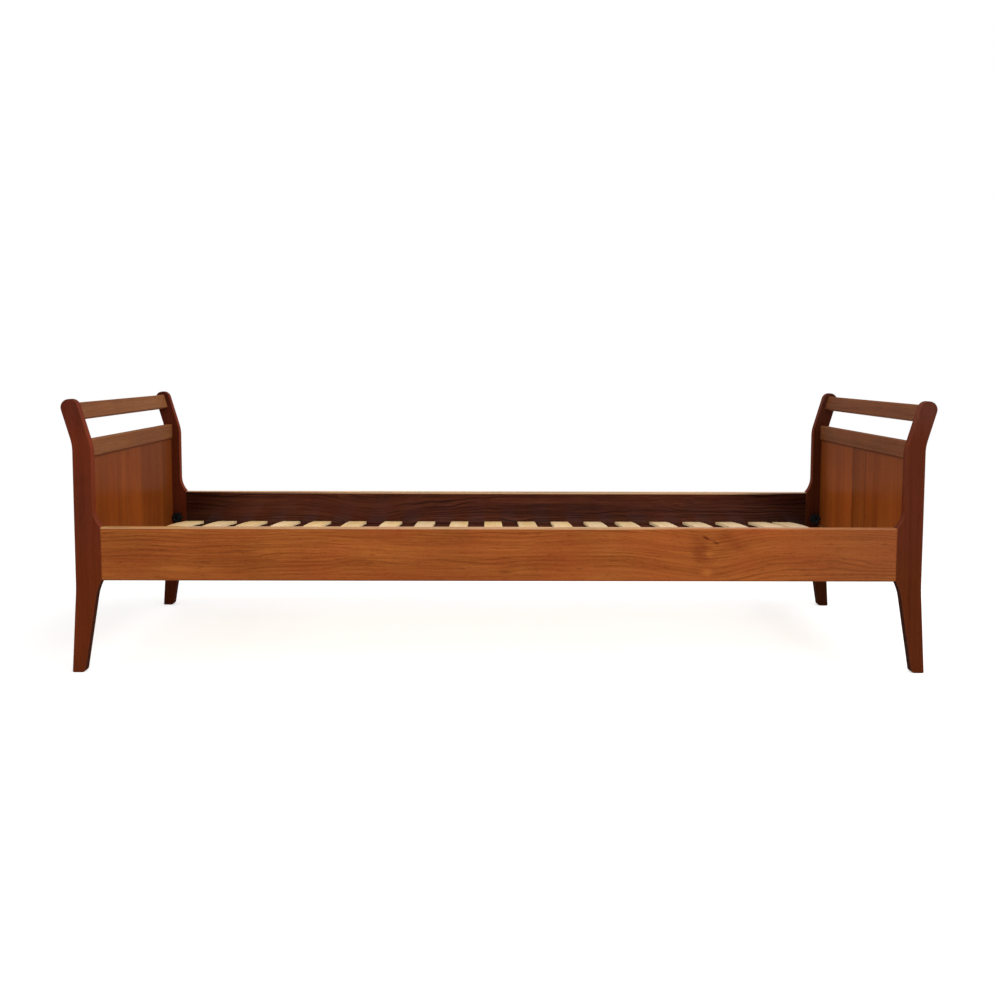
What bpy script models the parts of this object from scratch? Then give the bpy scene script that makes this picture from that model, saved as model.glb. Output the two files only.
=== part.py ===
"""Knock-down single bed in teak, with shaped posts, panelled ends and a base of sprung slats.

Two equal ends stand at -X (left) and +X (right). Each has two plank posts, a leaning top rail, a middle
rail, a bottom rail and a panel held in grooves. The side rails at -Y (front) and +Y (back) enter the posts
with tenons, and a hand screw at each corner draws the tenon tight. The slats lie on ledgers screwed to the
side rails. The origin is on the floor, in the middle of the bed.
"""

import math

import bmesh
import bpy
from mathutils import Matrix, Vector

# Overall sizes, in metres
UPRIGHT_LENGTH = 2.070  # over the upright part of the posts, without the lean of the heads
WIDTH = 0.970
HEIGHT = 0.670
FIT = 0.0003  # gap between pieces that touch
CHORD_ERROR = 0.0001  # how far a facet may lie inside its arc

# Posts: planks, shaped in the plane of the bed's length
POST_THICKNESS = 0.030  # the side rails are as thick, flush on both faces
POST_WIDTH = 0.045
POST_EDGE = 0.004  # rounding of the long edges
LEAN_ANGLE = math.radians(16.3)
LEAN_DROP = 0.110  # from the crest down to where the outer edge starts to lean
HEAD_WIDTH = 0.041  # across the leaning part, with a full round on top
BEND_RADIUS = 0.110
SHOULDER = 0.0175  # how far the post swells towards the side rail
SWELL_RADIUS_ABOVE = 0.067
SWELL_RADIUS_BELOW = 0.130
LEG_WIDTH = 0.0550  # of the tapering leg, carried up to the bottom of the side rail
SPLAY_DROP = 0.022  # from the bottom of the side rail down to where the outer edge starts to splay
SPLAY_RADIUS = 0.400
FOOT_SPLAY = 0.0135
FOOT_WIDTH = 0.0305
FOOT_OUTER_RADIUS = 0.003
FOOT_INNER_RADIUS = 0.009

# Side rails and their tenons
RAIL_BOTTOM = 0.2275
RAIL_HEIGHT = 0.1315
RAIL_EDGE = 0.005
SIDE_TENON_THICKNESS = 0.012
SIDE_TENON_SHOULDER = 0.022  # above and below the tenon

# Rails of the ends
TOP_RAIL_HEIGHT = 0.041
TOP_RAIL_THICKNESS = 0.022
TOP_RAIL_DROP = 0.011  # below the crest of the posts, along the lean
TOP_RAIL_SETBACK = 0.0065  # from the outer edge of the posts
HAND_GAP = 0.053  # between the inner edges of the top rail and the middle rail
MIDDLE_RAIL_HEIGHT = 0.043
BOTTOM_RAIL_HEIGHT = 0.0325
LOW_RAIL_THICKNESS = 0.021  # of the middle and the bottom rail
LOW_RAIL_SETBACK = 0.003
END_RAIL_EDGE = 0.003
END_TENON_THICKNESS = 0.010
END_TENON_LENGTH = 0.020
END_TENON_SHOULDER = 0.005

# Panels
PANEL_THICKNESS = 0.016
PANEL_SETBACK = 0.0045  # from the outer edge of the posts
TONGUE_THICKNESS = 0.007
TONGUE_LENGTH = 0.008

# Slats, the ledgers that carry them and the tapes that join them
LEDGER_LIFT = 0.0055  # above the bottom of the side rail
LEDGER_HEIGHT = 0.025
LEDGER_WIDTH = 0.025
LEDGER_EDGE = 0.0015
LEDGER_END_GAP = 0.008
SLAT_COUNT = 19
SLAT_WIDTH = 0.053
SLAT_THICKNESS = 0.008
SLAT_CAMBER = 0.019
SLAT_EDGE = 0.0015
SLAT_END_GAP = 0.005  # to the inner face of each side rail
FIRST_SLAT_MARGIN = 0.0445  # from the left panel
LAST_SLAT_MARGIN = 0.0965  # from the right panel
LAST_SLAT_GAP = 0.0225  # the last slat is pushed up to its neighbour
SLAT_DRIFT = {3: -0.008, 4: -0.0085, 5: -0.0155, 6: -0.0085, 14: -0.006}  # slats that have slid on the tapes
TAPE_WIDTH = 0.025
TAPE_THICKNESS = 0.0012
TAPE_OFFSET = 0.250  # from the middle of the bed

# Hand screws, with their washers and the inserts that they turn in
KNOB_RADIUS = 0.017
KNOB_HEIGHT = 0.014
KNOB_EDGE = 0.004
LOBE_COUNT = 6
LOBE_DEPTH = 0.003
HUB_RADIUS = 0.009
HUB_HEIGHT = 0.010
STUD_RADIUS = 0.004
STUD_SLACK = 0.0005
WASHER_RADIUS = 0.011
WASHER_THICKNESS = 0.0016
INSERT_RADIUS = 0.006
INSERT_WALL = 0.0085  # of wood between the insert and the end of the tenon
KNOB_PANEL_GAP = 0.0015
KNOB_RAIL_GAP = 0.002  # above the bottom rail of the end

# Screws through the ledgers
LEDGER_SCREW_COUNT = 5
LEDGER_SCREW_INSET = 0.060
LEDGER_SCREW_RADIUS = 0.002
LEDGER_SCREW_HEAD_RADIUS = 0.004
LEDGER_SCREW_LENGTH = 0.038

# Segments round small turned pieces
RING_STEPS = 20
SCREW_STEPS = 12
LOBE_STEPS = 6

# Places that follow from the sizes above
UPRIGHT_HALF = UPRIGHT_LENGTH / 2
INNER_WIDTH = WIDTH - 2 * POST_THICKNESS
RAIL_TOP = RAIL_BOTTOM + RAIL_HEIGHT
POST_MIDDLE = (WIDTH - POST_THICKNESS) / 2
SHOULDER_IN = POST_WIDTH + SHOULDER
ALONG = Vector((math.sin(LEAN_ANGLE), math.cos(LEAN_ANGLE)))
INWARD = Vector((-math.cos(LEAN_ANGLE), math.sin(LEAN_ANGLE)))
HEAD_RADIUS = HEAD_WIDTH / 2
LEAN_START = Vector((0, HEIGHT - LEAN_DROP))
HEAD_REACH = (LEAN_DROP - HEAD_RADIUS - HEAD_RADIUS * INWARD.y) / ALONG.y
HEAD_CENTRE = LEAN_START + HEAD_REACH * ALONG + HEAD_RADIUS * INWARD
PANEL_IN = PANEL_SETBACK + PANEL_THICKNESS
SLAT_SEAT = RAIL_BOTTOM + LEDGER_LIFT + LEDGER_HEIGHT
SLAT_LENGTH = INNER_WIDTH - 2 * SLAT_END_GAP
SCREW_IN = PANEL_IN + KNOB_PANEL_GAP + KNOB_RADIUS
BOTTOM_RAIL_TOP = RAIL_BOTTOM + BOTTOM_RAIL_HEIGHT
SCREW_HEIGHT = BOTTOM_RAIL_TOP + KNOB_RAIL_GAP + KNOB_RADIUS
SIDE_TENON_IN = SCREW_IN - INSERT_RADIUS - INSERT_WALL
CHEEK = (POST_THICKNESS - SIDE_TENON_THICKNESS) / 2

ENDS = {"left": -1, "right": 1}
SIDES = {"front": -1, "back": 1}
FACING = {"front": (-math.pi / 2, 0, 0), "back": (math.pi / 2, 0, 0)}  # local Z points into the bed
LENGTHWISE = (math.pi / 2, 0, math.pi / 2)  # an outline drawn in world Y and Z
CROSSWISE = (math.pi / 2, 0, 0)  # an outline drawn in world X and Z


def clear_scene():
    """Remove what the scene holds."""
    for thing in list(bpy.data.objects):
        bpy.data.objects.remove(thing, do_unlink=True)


def new_collection(name):
    """Return a new collection linked to the scene."""
    collection = bpy.data.collections.new(name)
    bpy.context.scene.collection.children.link(collection)
    return collection


clear_scene()
PARTS = new_collection("wooden_bed")
CUTTERS = new_collection("cutters")
BED = bpy.data.objects.new("bed", None)
PARTS.objects.link(BED)


def linear(channel):
    """Return a display colour value from 0 to 255 as linear light."""
    value = channel / 255
    return value / 12.92 if value <= 0.04045 else ((value + 0.055) / 1.055) ** 2.4


def finish(name, colour, roughness, metallic=0.0):
    """Return a material of one display colour."""
    material = bpy.data.materials.new(name)
    material.use_nodes = True
    shader = material.node_tree.nodes["Principled BSDF"]
    shader.inputs["Base Color"].default_value = (*(linear(c) for c in colour), 1.0)
    shader.inputs["Roughness"].default_value = roughness
    shader.inputs["Metallic"].default_value = metallic
    return material


POST_TEAK = finish("post_teak", (94, 41, 25), 0.45)
RAIL_TEAK = finish("rail_teak", (148, 80, 38), 0.45)
END_TEAK = finish("end_rail_teak", (134, 78, 54), 0.45)
VENEER = finish("panel_veneer", (112, 52, 24), 0.45)
LEDGER_WOOD = finish("ledger_wood", (78, 40, 28), 0.60)
BIRCH = finish("slat_birch", (222, 186, 138), 0.55)
WEBBING = finish("slat_webbing", (206, 198, 182), 0.90)
BLACK_PLASTIC = finish("black_plastic", (18, 18, 20), 0.35)
ZINC = finish("zinc_plate", (178, 180, 182), 0.35, 1.0)
BRASS = finish("brass", (190, 152, 84), 0.35, 1.0)


def in_scene(name, mesh, location, rotation=(0, 0, 0)):
    """Return a new object for the mesh, at home in the collection of parts."""
    thing = bpy.data.objects.new(name, mesh)
    thing.location = location
    thing.rotation_euler = rotation
    thing.parent = BED
    PARTS.objects.link(thing)
    return thing


def painted(thing, material):
    """Give the object its material and return it."""
    thing.data.materials.clear()
    thing.data.materials.append(material)
    return thing


def as_cutter(thing):
    """Move the object to the cutters, where it isn't drawn, and return it."""
    PARTS.objects.unlink(thing)
    CUTTERS.objects.link(thing)
    thing.hide_render = True
    thing.display_type = "WIRE"
    return thing


def combine(thing, tool, operation):
    """Cut the tool from the object, or join the tool to it."""
    modifier = thing.modifiers.new(f"{operation.lower()} {tool.name}", "BOOLEAN")
    modifier.operation = operation
    modifier.solver = "EXACT"
    modifier.object = tool


def round_edges(thing, width, segments, angle=math.radians(60)):
    """Round the edges of the object that are sharper than the angle."""
    modifier = thing.modifiers.new("rounded edges", "BEVEL")
    modifier.width = width
    modifier.segments = segments
    modifier.limit_method = "ANGLE"
    modifier.angle_limit = angle


def rounded(corners):
    """Return the outline through the corners, each turned by an arc of its own radius.

    A corner is a point and a radius, and a radius of nought leaves it sharp.
    """
    points = []
    for index, (corner, radius) in enumerate(corners):
        back = (corners[index - 1][0] - corner).normalized()
        ahead = (corners[(index + 1) % len(corners)][0] - corner).normalized()
        turn = math.pi - back.angle(ahead)
        if radius <= 0 or turn < 0.001:
            points.append(corner)
            continue
        centre = corner + (back + ahead).normalized() * radius / math.cos(turn / 2)
        spoke = corner + back * radius * math.tan(turn / 2) - centre
        sense = math.copysign(1, back.y * ahead.x - back.x * ahead.y)
        steps = max(2, math.ceil(turn / (2 * math.acos(1 - CHORD_ERROR / radius))))
        for step in range(steps + 1):
            points.append(centre + Matrix.Rotation(sense * turn * step / steps, 2) @ spoke)
    return [p for i, p in enumerate(points) if (p - points[i - 1]).length > 1e-6]


def flat_solid(name, points, thickness, location, rotation):
    """Return a solid of even thickness: the outline in local X and Y, half of it to each side."""
    curve = bpy.data.curves.new(name, "CURVE")
    curve.dimensions = "2D"
    curve.fill_mode = "BOTH"
    curve.extrude = thickness / 2
    spline = curve.splines.new("POLY")
    spline.points.add(len(points) - 1)
    for knot, (x, y) in zip(spline.points, points):
        knot.co = (x, y, 0, 1)
    spline.use_cyclic_u = True
    drawing = in_scene(f"{name}_outline", curve, (0, 0, 0))
    evaluated = drawing.evaluated_get(bpy.context.evaluated_depsgraph_get())
    mesh = bpy.data.meshes.new_from_object(evaluated)
    bpy.data.objects.remove(drawing)
    bpy.data.curves.remove(curve)
    cage = bmesh.new()
    cage.from_mesh(mesh)
    bmesh.ops.remove_doubles(cage, verts=cage.verts, dist=1e-6)
    bmesh.ops.recalc_face_normals(cage, faces=cage.faces)
    cage.to_mesh(mesh)
    cage.free()
    mesh.name = name
    return in_scene(name, mesh, location, rotation)


def box(name, low, high):
    """Return a box between its two opposite corners, with its origin in the middle."""
    size = Vector(high) - Vector(low)
    cage = bmesh.new()
    bmesh.ops.create_cube(cage, size=1.0, matrix=Matrix.Diagonal((*size, 1.0)))
    mesh = bpy.data.meshes.new(name)
    cage.to_mesh(mesh)
    cage.free()
    return in_scene(name, mesh, (Vector(low) + Vector(high)) / 2)


def turned(name, profile, steps, location, rotation, closed=False):
    """Return a turned solid: the profile of radii and heights runs down its outer side."""
    edges = [(i, i + 1) for i in range(len(profile) - 1)]
    if closed:
        edges.append((len(profile) - 1, 0))
    mesh = bpy.data.meshes.new(name)
    mesh.from_pydata([(radius, 0, height) for radius, height in profile], edges, [])
    thing = in_scene(name, mesh, location, rotation)
    modifier = thing.modifiers.new("turned", "SCREW")
    modifier.steps = steps
    modifier.render_steps = steps
    modifier.use_merge_vertices = True
    modifier.merge_threshold = 1e-5
    modifier.use_smooth_shade = True
    return thing


def rod(name, radius, low, high, steps, location, rotation):
    """Return a plain round rod between two heights on its axis."""
    profile = [(0, high), (radius, high), (radius, low), (0, low)]
    return turned(name, profile, steps, location, rotation)


def block_section(centre, along, height, thickness, edge=0.0):
    """Return the corners of a bar's section, with its height along the direction given."""
    across = Vector((-along.y, along.x))
    up, side = along * height / 2, across * thickness / 2
    return [(centre + way, edge) for way in (up + side, side - up, -up - side, up - side)]


def facing_end(corners, end):
    """Return the outline of corners drawn for the right end, mirrored where the end is the left one."""
    return [Vector((ENDS[end] * p.x, p.y)) for p in rounded(corners)]


def swell_corner(start, direction, tip, radius):
    """Return the corner whose arc leaves a straight edge and ends at the tip of a shoulder."""
    edge = direction.normalized()
    offset = tip - start
    foot = start + edge * offset.dot(edge)
    sweep = math.acos(1 - (tip - foot).length / radius)
    return foot + edge * radius * (math.sin(sweep) - math.tan(sweep / 2))


def post_corners():
    """Return the corners of a right-hand post, measured out from its upright outer edge and up."""
    crest = HEAD_CENTRE + HEAD_RADIUS * ALONG
    outer_crest = crest - HEAD_RADIUS * INWARD
    inner_crest = crest + HEAD_RADIUS * INWARD
    inner_bend = inner_crest - ALONG * (inner_crest.x + POST_WIDTH) / ALONG.x
    tip_above = Vector((-SHOULDER_IN, RAIL_TOP))
    tip_below = Vector((-SHOULDER_IN, RAIL_BOTTOM))
    foot_inner = Vector((FOOT_SPLAY - FOOT_WIDTH, 0))
    leg_top = Vector((-LEG_WIDTH, RAIL_BOTTOM))
    upright = Vector((-POST_WIDTH, RAIL_TOP))
    swell_above = swell_corner(upright, Vector((0, 1)), tip_above, SWELL_RADIUS_ABOVE)
    swell_below = swell_corner(leg_top, foot_inner - leg_top, tip_below, SWELL_RADIUS_BELOW)
    return [
        (Vector((FOOT_SPLAY, 0)), FOOT_OUTER_RADIUS),
        (Vector((0, RAIL_BOTTOM - SPLAY_DROP)), SPLAY_RADIUS),
        (LEAN_START, BEND_RADIUS),
        (outer_crest, HEAD_RADIUS),
        (inner_crest, HEAD_RADIUS),
        (inner_bend, BEND_RADIUS),
        (swell_above, SWELL_RADIUS_ABOVE),
        (tip_above, 0),
        (tip_below, 0),
        (swell_below, SWELL_RADIUS_BELOW),
        (foot_inner, FOOT_INNER_RADIUS),
    ]


# Sections of the rails of the ends, measured out from the posts' upright outer edge and up
TOP_RAIL_UP = HEAD_RADIUS - TOP_RAIL_DROP - TOP_RAIL_HEIGHT / 2
TOP_RAIL_ACROSS = TOP_RAIL_SETBACK + TOP_RAIL_THICKNESS / 2 - HEAD_RADIUS
TOP_MIDDLE = HEAD_CENTRE + ALONG * TOP_RAIL_UP + INWARD * TOP_RAIL_ACROSS
TOP_INNER_EDGE = TOP_MIDDLE - ALONG * TOP_RAIL_HEIGHT / 2 + INWARD * TOP_RAIL_THICKNESS / 2
UPWARD = Vector((0, 1))
LOW_RAIL_MIDDLE = -LOW_RAIL_SETBACK - LOW_RAIL_THICKNESS / 2
MIDDLE_RAIL_TOP = TOP_INNER_EDGE.y - HAND_GAP
MIDDLE_RAIL_BOTTOM = MIDDLE_RAIL_TOP - MIDDLE_RAIL_HEIGHT
TENON_KEEP = TONGUE_LENGTH + END_TENON_SHOULDER  # of rail height beside the groove for the panel


def end_bar(name, end, section, length):
    """Return a straight bar across one end, of the section and length given."""
    return flat_solid(name, facing_end(section, end), length, (ENDS[end] * UPRIGHT_HALF, 0, 0), CROSSWISE)


def end_rail(name, end, along, body, tenon):
    """Return a rail across one end and the cutter for its mortises.

    Body and tenon are each a middle, a height and a thickness.
    """
    core_length = INNER_WIDTH + 2 * END_TENON_LENGTH
    rail = end_bar(name, end, block_section(body[0], along, *body[1:], END_RAIL_EDGE), INNER_WIDTH - 2 * FIT)
    core = end_bar(f"{name}_tenons", end, block_section(tenon[0], along, *tenon[1:]), core_length)
    grown = block_section(tenon[0], along, tenon[1] + 2 * FIT, tenon[2] + 2 * FIT)
    mortise = end_bar(f"{name}_mortises", end, grown, core_length + 2 * FIT)
    combine(rail, as_cutter(core), "UNION")
    return painted(rail, END_TEAK), as_cutter(mortise)


def low_rail(name, end, low, high, groove_on_top):
    """Return an upright rail grooved for the panel, and its mortise cutter."""
    tenon_low = low + (END_TENON_SHOULDER if groove_on_top else TENON_KEEP)
    tenon_high = high - (TENON_KEEP if groove_on_top else END_TENON_SHOULDER)
    body = (Vector((LOW_RAIL_MIDDLE, (low + high) / 2)), high - low, LOW_RAIL_THICKNESS)
    tenon_middle = Vector((LOW_RAIL_MIDDLE, (tenon_low + tenon_high) / 2))
    return end_rail(name, end, UPWARD, body, (tenon_middle, tenon_high - tenon_low, END_TENON_THICKNESS))


def end_panel(end):
    """Return the panel of one end and the cutter for the grooves that hold its tongue."""
    def span(out_low, out_high, extra):
        xs = sorted(ENDS[end] * (UPRIGHT_HALF - out) for out in (out_low, out_high))
        reach = INNER_WIDTH / 2 - FIT + extra
        low, high = BOTTOM_RAIL_TOP + FIT - extra, MIDDLE_RAIL_BOTTOM - FIT + extra
        return (xs[0], -reach, low), (xs[1], reach, high)

    middle = PANEL_SETBACK + PANEL_THICKNESS / 2
    half = TONGUE_THICKNESS / 2
    panel = box(f"{end}_end_panel", *span(PANEL_SETBACK, PANEL_IN, 0))
    tongue = box(f"{end}_tongue", *span(middle - half, middle + half, TONGUE_LENGTH))
    groove = box(f"{end}_groove", *span(middle - half - FIT, middle + half + FIT, TONGUE_LENGTH + FIT))
    combine(panel, as_cutter(tongue), "UNION")
    return painted(panel, VENEER), as_cutter(groove)


def bed_end(end):
    """Return the cutters that the rails and the panel of one end make in its posts."""
    tenon = (TOP_MIDDLE, TOP_RAIL_HEIGHT - 2 * END_TENON_SHOULDER, END_TENON_THICKNESS)
    _, top = end_rail(f"{end}_top_rail", end, ALONG, (TOP_MIDDLE, TOP_RAIL_HEIGHT, TOP_RAIL_THICKNESS), tenon)
    middle_rail, middle = low_rail(f"{end}_middle_rail", end, MIDDLE_RAIL_BOTTOM, MIDDLE_RAIL_TOP, False)
    bottom_rail, bottom = low_rail(f"{end}_bottom_rail", end, RAIL_BOTTOM, BOTTOM_RAIL_TOP, True)
    _, groove = end_panel(end)
    combine(middle_rail, groove, "DIFFERENCE")
    combine(bottom_rail, groove, "DIFFERENCE")
    return top, middle, bottom, groove


def side_rail(side):
    """Return a side rail with a tenon at each end, and the cutter for its mortises."""
    middle = SIDES[side] * POST_MIDDLE
    length = UPRIGHT_LENGTH - 2 * SHOULDER_IN - 2 * FIT
    centre = Vector((0, RAIL_BOTTOM + RAIL_HEIGHT / 2))
    section = rounded(block_section(centre, UPWARD, RAIL_HEIGHT, POST_THICKNESS, RAIL_EDGE))
    rail = flat_solid(f"{side}_side_rail", section, length, (0, middle, 0), LENGTHWISE)

    def core(name, extra):
        reach = UPRIGHT_HALF - SIDE_TENON_IN + extra
        half = SIDE_TENON_THICKNESS / 2 + extra
        low, high = RAIL_BOTTOM + SIDE_TENON_SHOULDER - extra, RAIL_TOP - SIDE_TENON_SHOULDER + extra
        return as_cutter(box(f"{side}_{name}", (-reach, middle - half, low), (reach, middle + half, high)))

    combine(rail, core("side_tenons", 0), "UNION")
    return painted(rail, RAIL_TEAK), core("side_mortises", FIT)


def post(end, side, cutters):
    """Return a post with its mortises, its grooves and the hole for its hand screw."""
    outline = facing_end(post_corners(), end)
    place = (ENDS[end] * UPRIGHT_HALF, SIDES[side] * POST_MIDDLE, 0)
    plank = flat_solid(f"{end}_{side}_post", outline, POST_THICKNESS, place, CROSSWISE)
    round_edges(plank, POST_EDGE, 2)
    for cutter in cutters:
        combine(plank, cutter, "DIFFERENCE")
    return painted(plank, POST_TEAK)


def lobed_outline():
    """Return the outline of a knob with an even ring of finger hollows."""
    points = []
    count = LOBE_COUNT * LOBE_STEPS
    for step in range(count):
        angle = 2 * math.pi * step / count
        radius = KNOB_RADIUS - LOBE_DEPTH * (1 - math.cos(LOBE_COUNT * angle)) / 2
        points.append(Vector((radius * math.cos(angle), radius * math.sin(angle))))
    return points


def hand_screw(end, side, plank, rail):
    """Make the hand screw of one corner, with its washer and insert, and drill the wood for them.

    Local Z runs from the post's inner face into the bed.
    """
    corner = f"{end}_{side}"
    face = SIDES[side] * INNER_WIDTH / 2
    place = Vector((ENDS[end] * (UPRIGHT_HALF - SCREW_IN), face, SCREW_HEIGHT))
    turn = FACING[side]
    hub_base = WASHER_THICKNESS + 2 * FIT
    knob_base = hub_base + HUB_HEIGHT
    tip = -(CHEEK + SIDE_TENON_THICKNESS - FIT)

    knob = flat_solid(f"{corner}_hand_screw", lobed_outline(), KNOB_HEIGHT, place, turn)
    knob.data.transform(Matrix.Translation((0, 0, knob_base + KNOB_HEIGHT / 2)))
    round_edges(knob, KNOB_EDGE, 2)
    inside = knob_base + KNOB_HEIGHT / 2
    spindle = [(0, inside), (HUB_RADIUS, inside), (HUB_RADIUS, hub_base)]
    spindle += [(STUD_RADIUS, hub_base), (STUD_RADIUS, tip), (0, tip)]
    combine(knob, as_cutter(turned(f"{corner}_spindle", spindle, RING_STEPS, place, turn)), "UNION")
    painted(knob, BLACK_PLASTIC)

    bore, washer_top = STUD_RADIUS + STUD_SLACK, FIT + WASHER_THICKNESS
    ring = [(WASHER_RADIUS, washer_top), (WASHER_RADIUS, FIT), (bore, FIT), (bore, washer_top)]
    painted(turned(f"{corner}_washer", ring, RING_STEPS, place, turn, closed=True), ZINC)

    top, low = -CHEEK - FIT, -CHEEK - SIDE_TENON_THICKNESS + FIT
    bore = STUD_RADIUS + FIT
    sleeve = [(INSERT_RADIUS, top), (INSERT_RADIUS, low), (bore, low), (bore, top)]
    painted(turned(f"{corner}_threaded_insert", sleeve, RING_STEPS, place, turn, closed=True), BRASS)

    hole = rod(f"{corner}_screw_hole", STUD_RADIUS + STUD_SLACK, -CHEEK - FIT, CHEEK, RING_STEPS, place, turn)
    combine(plank, as_cutter(hole), "DIFFERENCE")
    low = -CHEEK - SIDE_TENON_THICKNESS - FIT
    seat = rod(f"{corner}_insert_hole", INSERT_RADIUS + FIT, low, -CHEEK + FIT, RING_STEPS, place, turn)
    combine(rail, as_cutter(seat), "DIFFERENCE")


def wood_screw_profile(head_top, extra=0.0):
    """Return the profile of a countersunk wood screw, wider all round by the extra.

    Height nought is the face of the wood, where the cone has the head's full radius.
    """
    head, shank = LEDGER_SCREW_HEAD_RADIUS + extra, LEDGER_SCREW_RADIUS + extra
    neck = LEDGER_SCREW_RADIUS - LEDGER_SCREW_HEAD_RADIUS
    point = 2 * LEDGER_SCREW_RADIUS - LEDGER_SCREW_LENGTH
    tip = -LEDGER_SCREW_LENGTH - extra
    return [(0, head_top), (head + head_top, head_top), (shank, neck), (shank, point), (0, tip)]


def ledger(side, rail):
    """Make the ledger of one side and screw it to the side rail."""
    inner = INNER_WIDTH / 2 - FIT - LEDGER_WIDTH
    length = UPRIGHT_LENGTH - 2 * SHOULDER_IN - 2 * LEDGER_END_GAP
    centre = Vector((0, RAIL_BOTTOM + LEDGER_LIFT + LEDGER_HEIGHT / 2))
    section = rounded(block_section(centre, UPWARD, LEDGER_HEIGHT, LEDGER_WIDTH, LEDGER_EDGE))
    place = (0, SIDES[side] * (inner + LEDGER_WIDTH / 2), 0)
    strip = painted(flat_solid(f"{side}_slat_ledger", section, length, place, LENGTHWISE), LEDGER_WOOD)
    first = -length / 2 + LEDGER_SCREW_INSET
    pitch = (length - 2 * LEDGER_SCREW_INSET) / (LEDGER_SCREW_COUNT - 1)
    for index in range(LEDGER_SCREW_COUNT):
        name = f"{side}_ledger_screw_{index + 1}"
        seat = (first + index * pitch, SIDES[side] * inner, centre.y)
        painted(turned(name, wood_screw_profile(-FIT), SCREW_STEPS, seat, FACING[side]), ZINC)
        hole = turned(f"{name}_hole", wood_screw_profile(FIT, FIT), SCREW_STEPS, seat, FACING[side])
        as_cutter(hole)
        combine(strip, hole, "DIFFERENCE")
        combine(rail, hole, "DIFFERENCE")


def slat_arc(offset):
    """Return the radius of a slat's arc and its half angle, for a surface that far above the lower one."""
    radius = ((SLAT_LENGTH / 2) ** 2 + SLAT_CAMBER ** 2) / (2 * SLAT_CAMBER)
    return radius + offset, math.asin(SLAT_LENGTH / 2 / radius)


def slat_outline():
    """Return the side view of a cambered slat: its upper arc and, back again, its lower one."""
    points = []
    lower_radius, half_angle = slat_arc(0)
    centre = SLAT_CAMBER - lower_radius
    facet = 2 * math.acos(1 - CHORD_ERROR / lower_radius)
    steps = 2 * round(half_angle / facet - 0.5) + 1  # odd, so that the crown is a level facet
    for offset, sense in ((SLAT_THICKNESS, 1), (0, -1)):
        radius, _ = slat_arc(offset)
        for step in range(steps + 1):
            angle = sense * half_angle * (2 * step / steps - 1)
            points.append(Vector((radius * math.sin(angle), centre + radius * math.cos(angle))))
    return points


def slat_places():
    """Return where the slats' middles lie along the bed."""
    first = -UPRIGHT_HALF + PANEL_IN + FIRST_SLAT_MARGIN + SLAT_WIDTH / 2
    last = UPRIGHT_HALF - PANEL_IN - LAST_SLAT_MARGIN - SLAT_WIDTH / 2
    neighbour = last - LAST_SLAT_GAP - SLAT_WIDTH
    pitch = (neighbour - first) / (SLAT_COUNT - 2)
    even = [first + index * pitch for index in range(SLAT_COUNT - 1)] + [last]
    return [place + SLAT_DRIFT.get(index + 1, 0) for index, place in enumerate(even)]


def slat_base():
    """Make the slats, and the two tapes under them."""
    places = slat_places()
    outline = slat_outline()
    for index, place in enumerate(places):
        name = f"slat_{index + 1:02d}"
        slat = flat_solid(name, outline, SLAT_WIDTH, (place, 0, SLAT_SEAT + FIT), LENGTHWISE)
        round_edges(slat, SLAT_EDGE, 1)
        painted(slat, BIRCH)
    radius, _ = slat_arc(0)
    depth = radius - FIT - TAPE_THICKNESS / 2
    half_length = (places[-1] - places[0] + SLAT_WIDTH) / 2
    for side, sense in SIDES.items():
        angle = sense * math.asin(TAPE_OFFSET / radius)
        half = Vector((half_length, TAPE_WIDTH / 2, TAPE_THICKNESS / 2))
        tape = painted(box(f"{side}_slat_tape", -half, half), WEBBING)
        height = SLAT_SEAT + FIT + SLAT_CAMBER - radius + depth * math.cos(angle)
        tape.location = ((places[0] + places[-1]) / 2, depth * math.sin(angle), height)
        tape.rotation_euler = (-angle, 0, 0)


def main():
    """Build the bed."""
    end_cutters = {end: bed_end(end) for end in ENDS}
    for side in SIDES:
        rail, side_mortises = side_rail(side)
        for end in ENDS:
            plank = post(end, side, (*end_cutters[end], side_mortises))
            hand_screw(end, side, plank, rail)
        ledger(side, rail)
    slat_base()


main()
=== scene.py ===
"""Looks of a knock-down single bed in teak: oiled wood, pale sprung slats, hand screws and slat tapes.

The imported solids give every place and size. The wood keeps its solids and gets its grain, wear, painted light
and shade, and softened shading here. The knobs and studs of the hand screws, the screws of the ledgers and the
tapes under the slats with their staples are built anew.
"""

import logging
import math
from dataclasses import dataclass, field
from enum import Enum
from functools import partial, reduce
from typing import Callable, ClassVar, Iterable, Optional, Sequence, Union

import bmesh
import bpy
from mathutils import Matrix, Vector


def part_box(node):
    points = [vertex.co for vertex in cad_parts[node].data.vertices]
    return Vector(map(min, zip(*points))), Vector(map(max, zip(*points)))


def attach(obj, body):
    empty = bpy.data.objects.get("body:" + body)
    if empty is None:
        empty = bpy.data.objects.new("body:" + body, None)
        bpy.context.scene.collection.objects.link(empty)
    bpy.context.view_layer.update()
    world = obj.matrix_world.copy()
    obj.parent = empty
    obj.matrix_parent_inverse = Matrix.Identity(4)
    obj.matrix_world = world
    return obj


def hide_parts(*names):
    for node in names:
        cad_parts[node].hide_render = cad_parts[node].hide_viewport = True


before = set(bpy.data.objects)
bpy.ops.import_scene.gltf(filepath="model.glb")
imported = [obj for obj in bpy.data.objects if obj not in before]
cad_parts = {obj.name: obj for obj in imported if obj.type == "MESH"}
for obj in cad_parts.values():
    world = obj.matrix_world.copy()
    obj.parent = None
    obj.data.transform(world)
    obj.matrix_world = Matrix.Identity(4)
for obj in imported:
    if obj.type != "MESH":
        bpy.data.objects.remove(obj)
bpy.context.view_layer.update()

LOG = logging.getLogger("bed")
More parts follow.
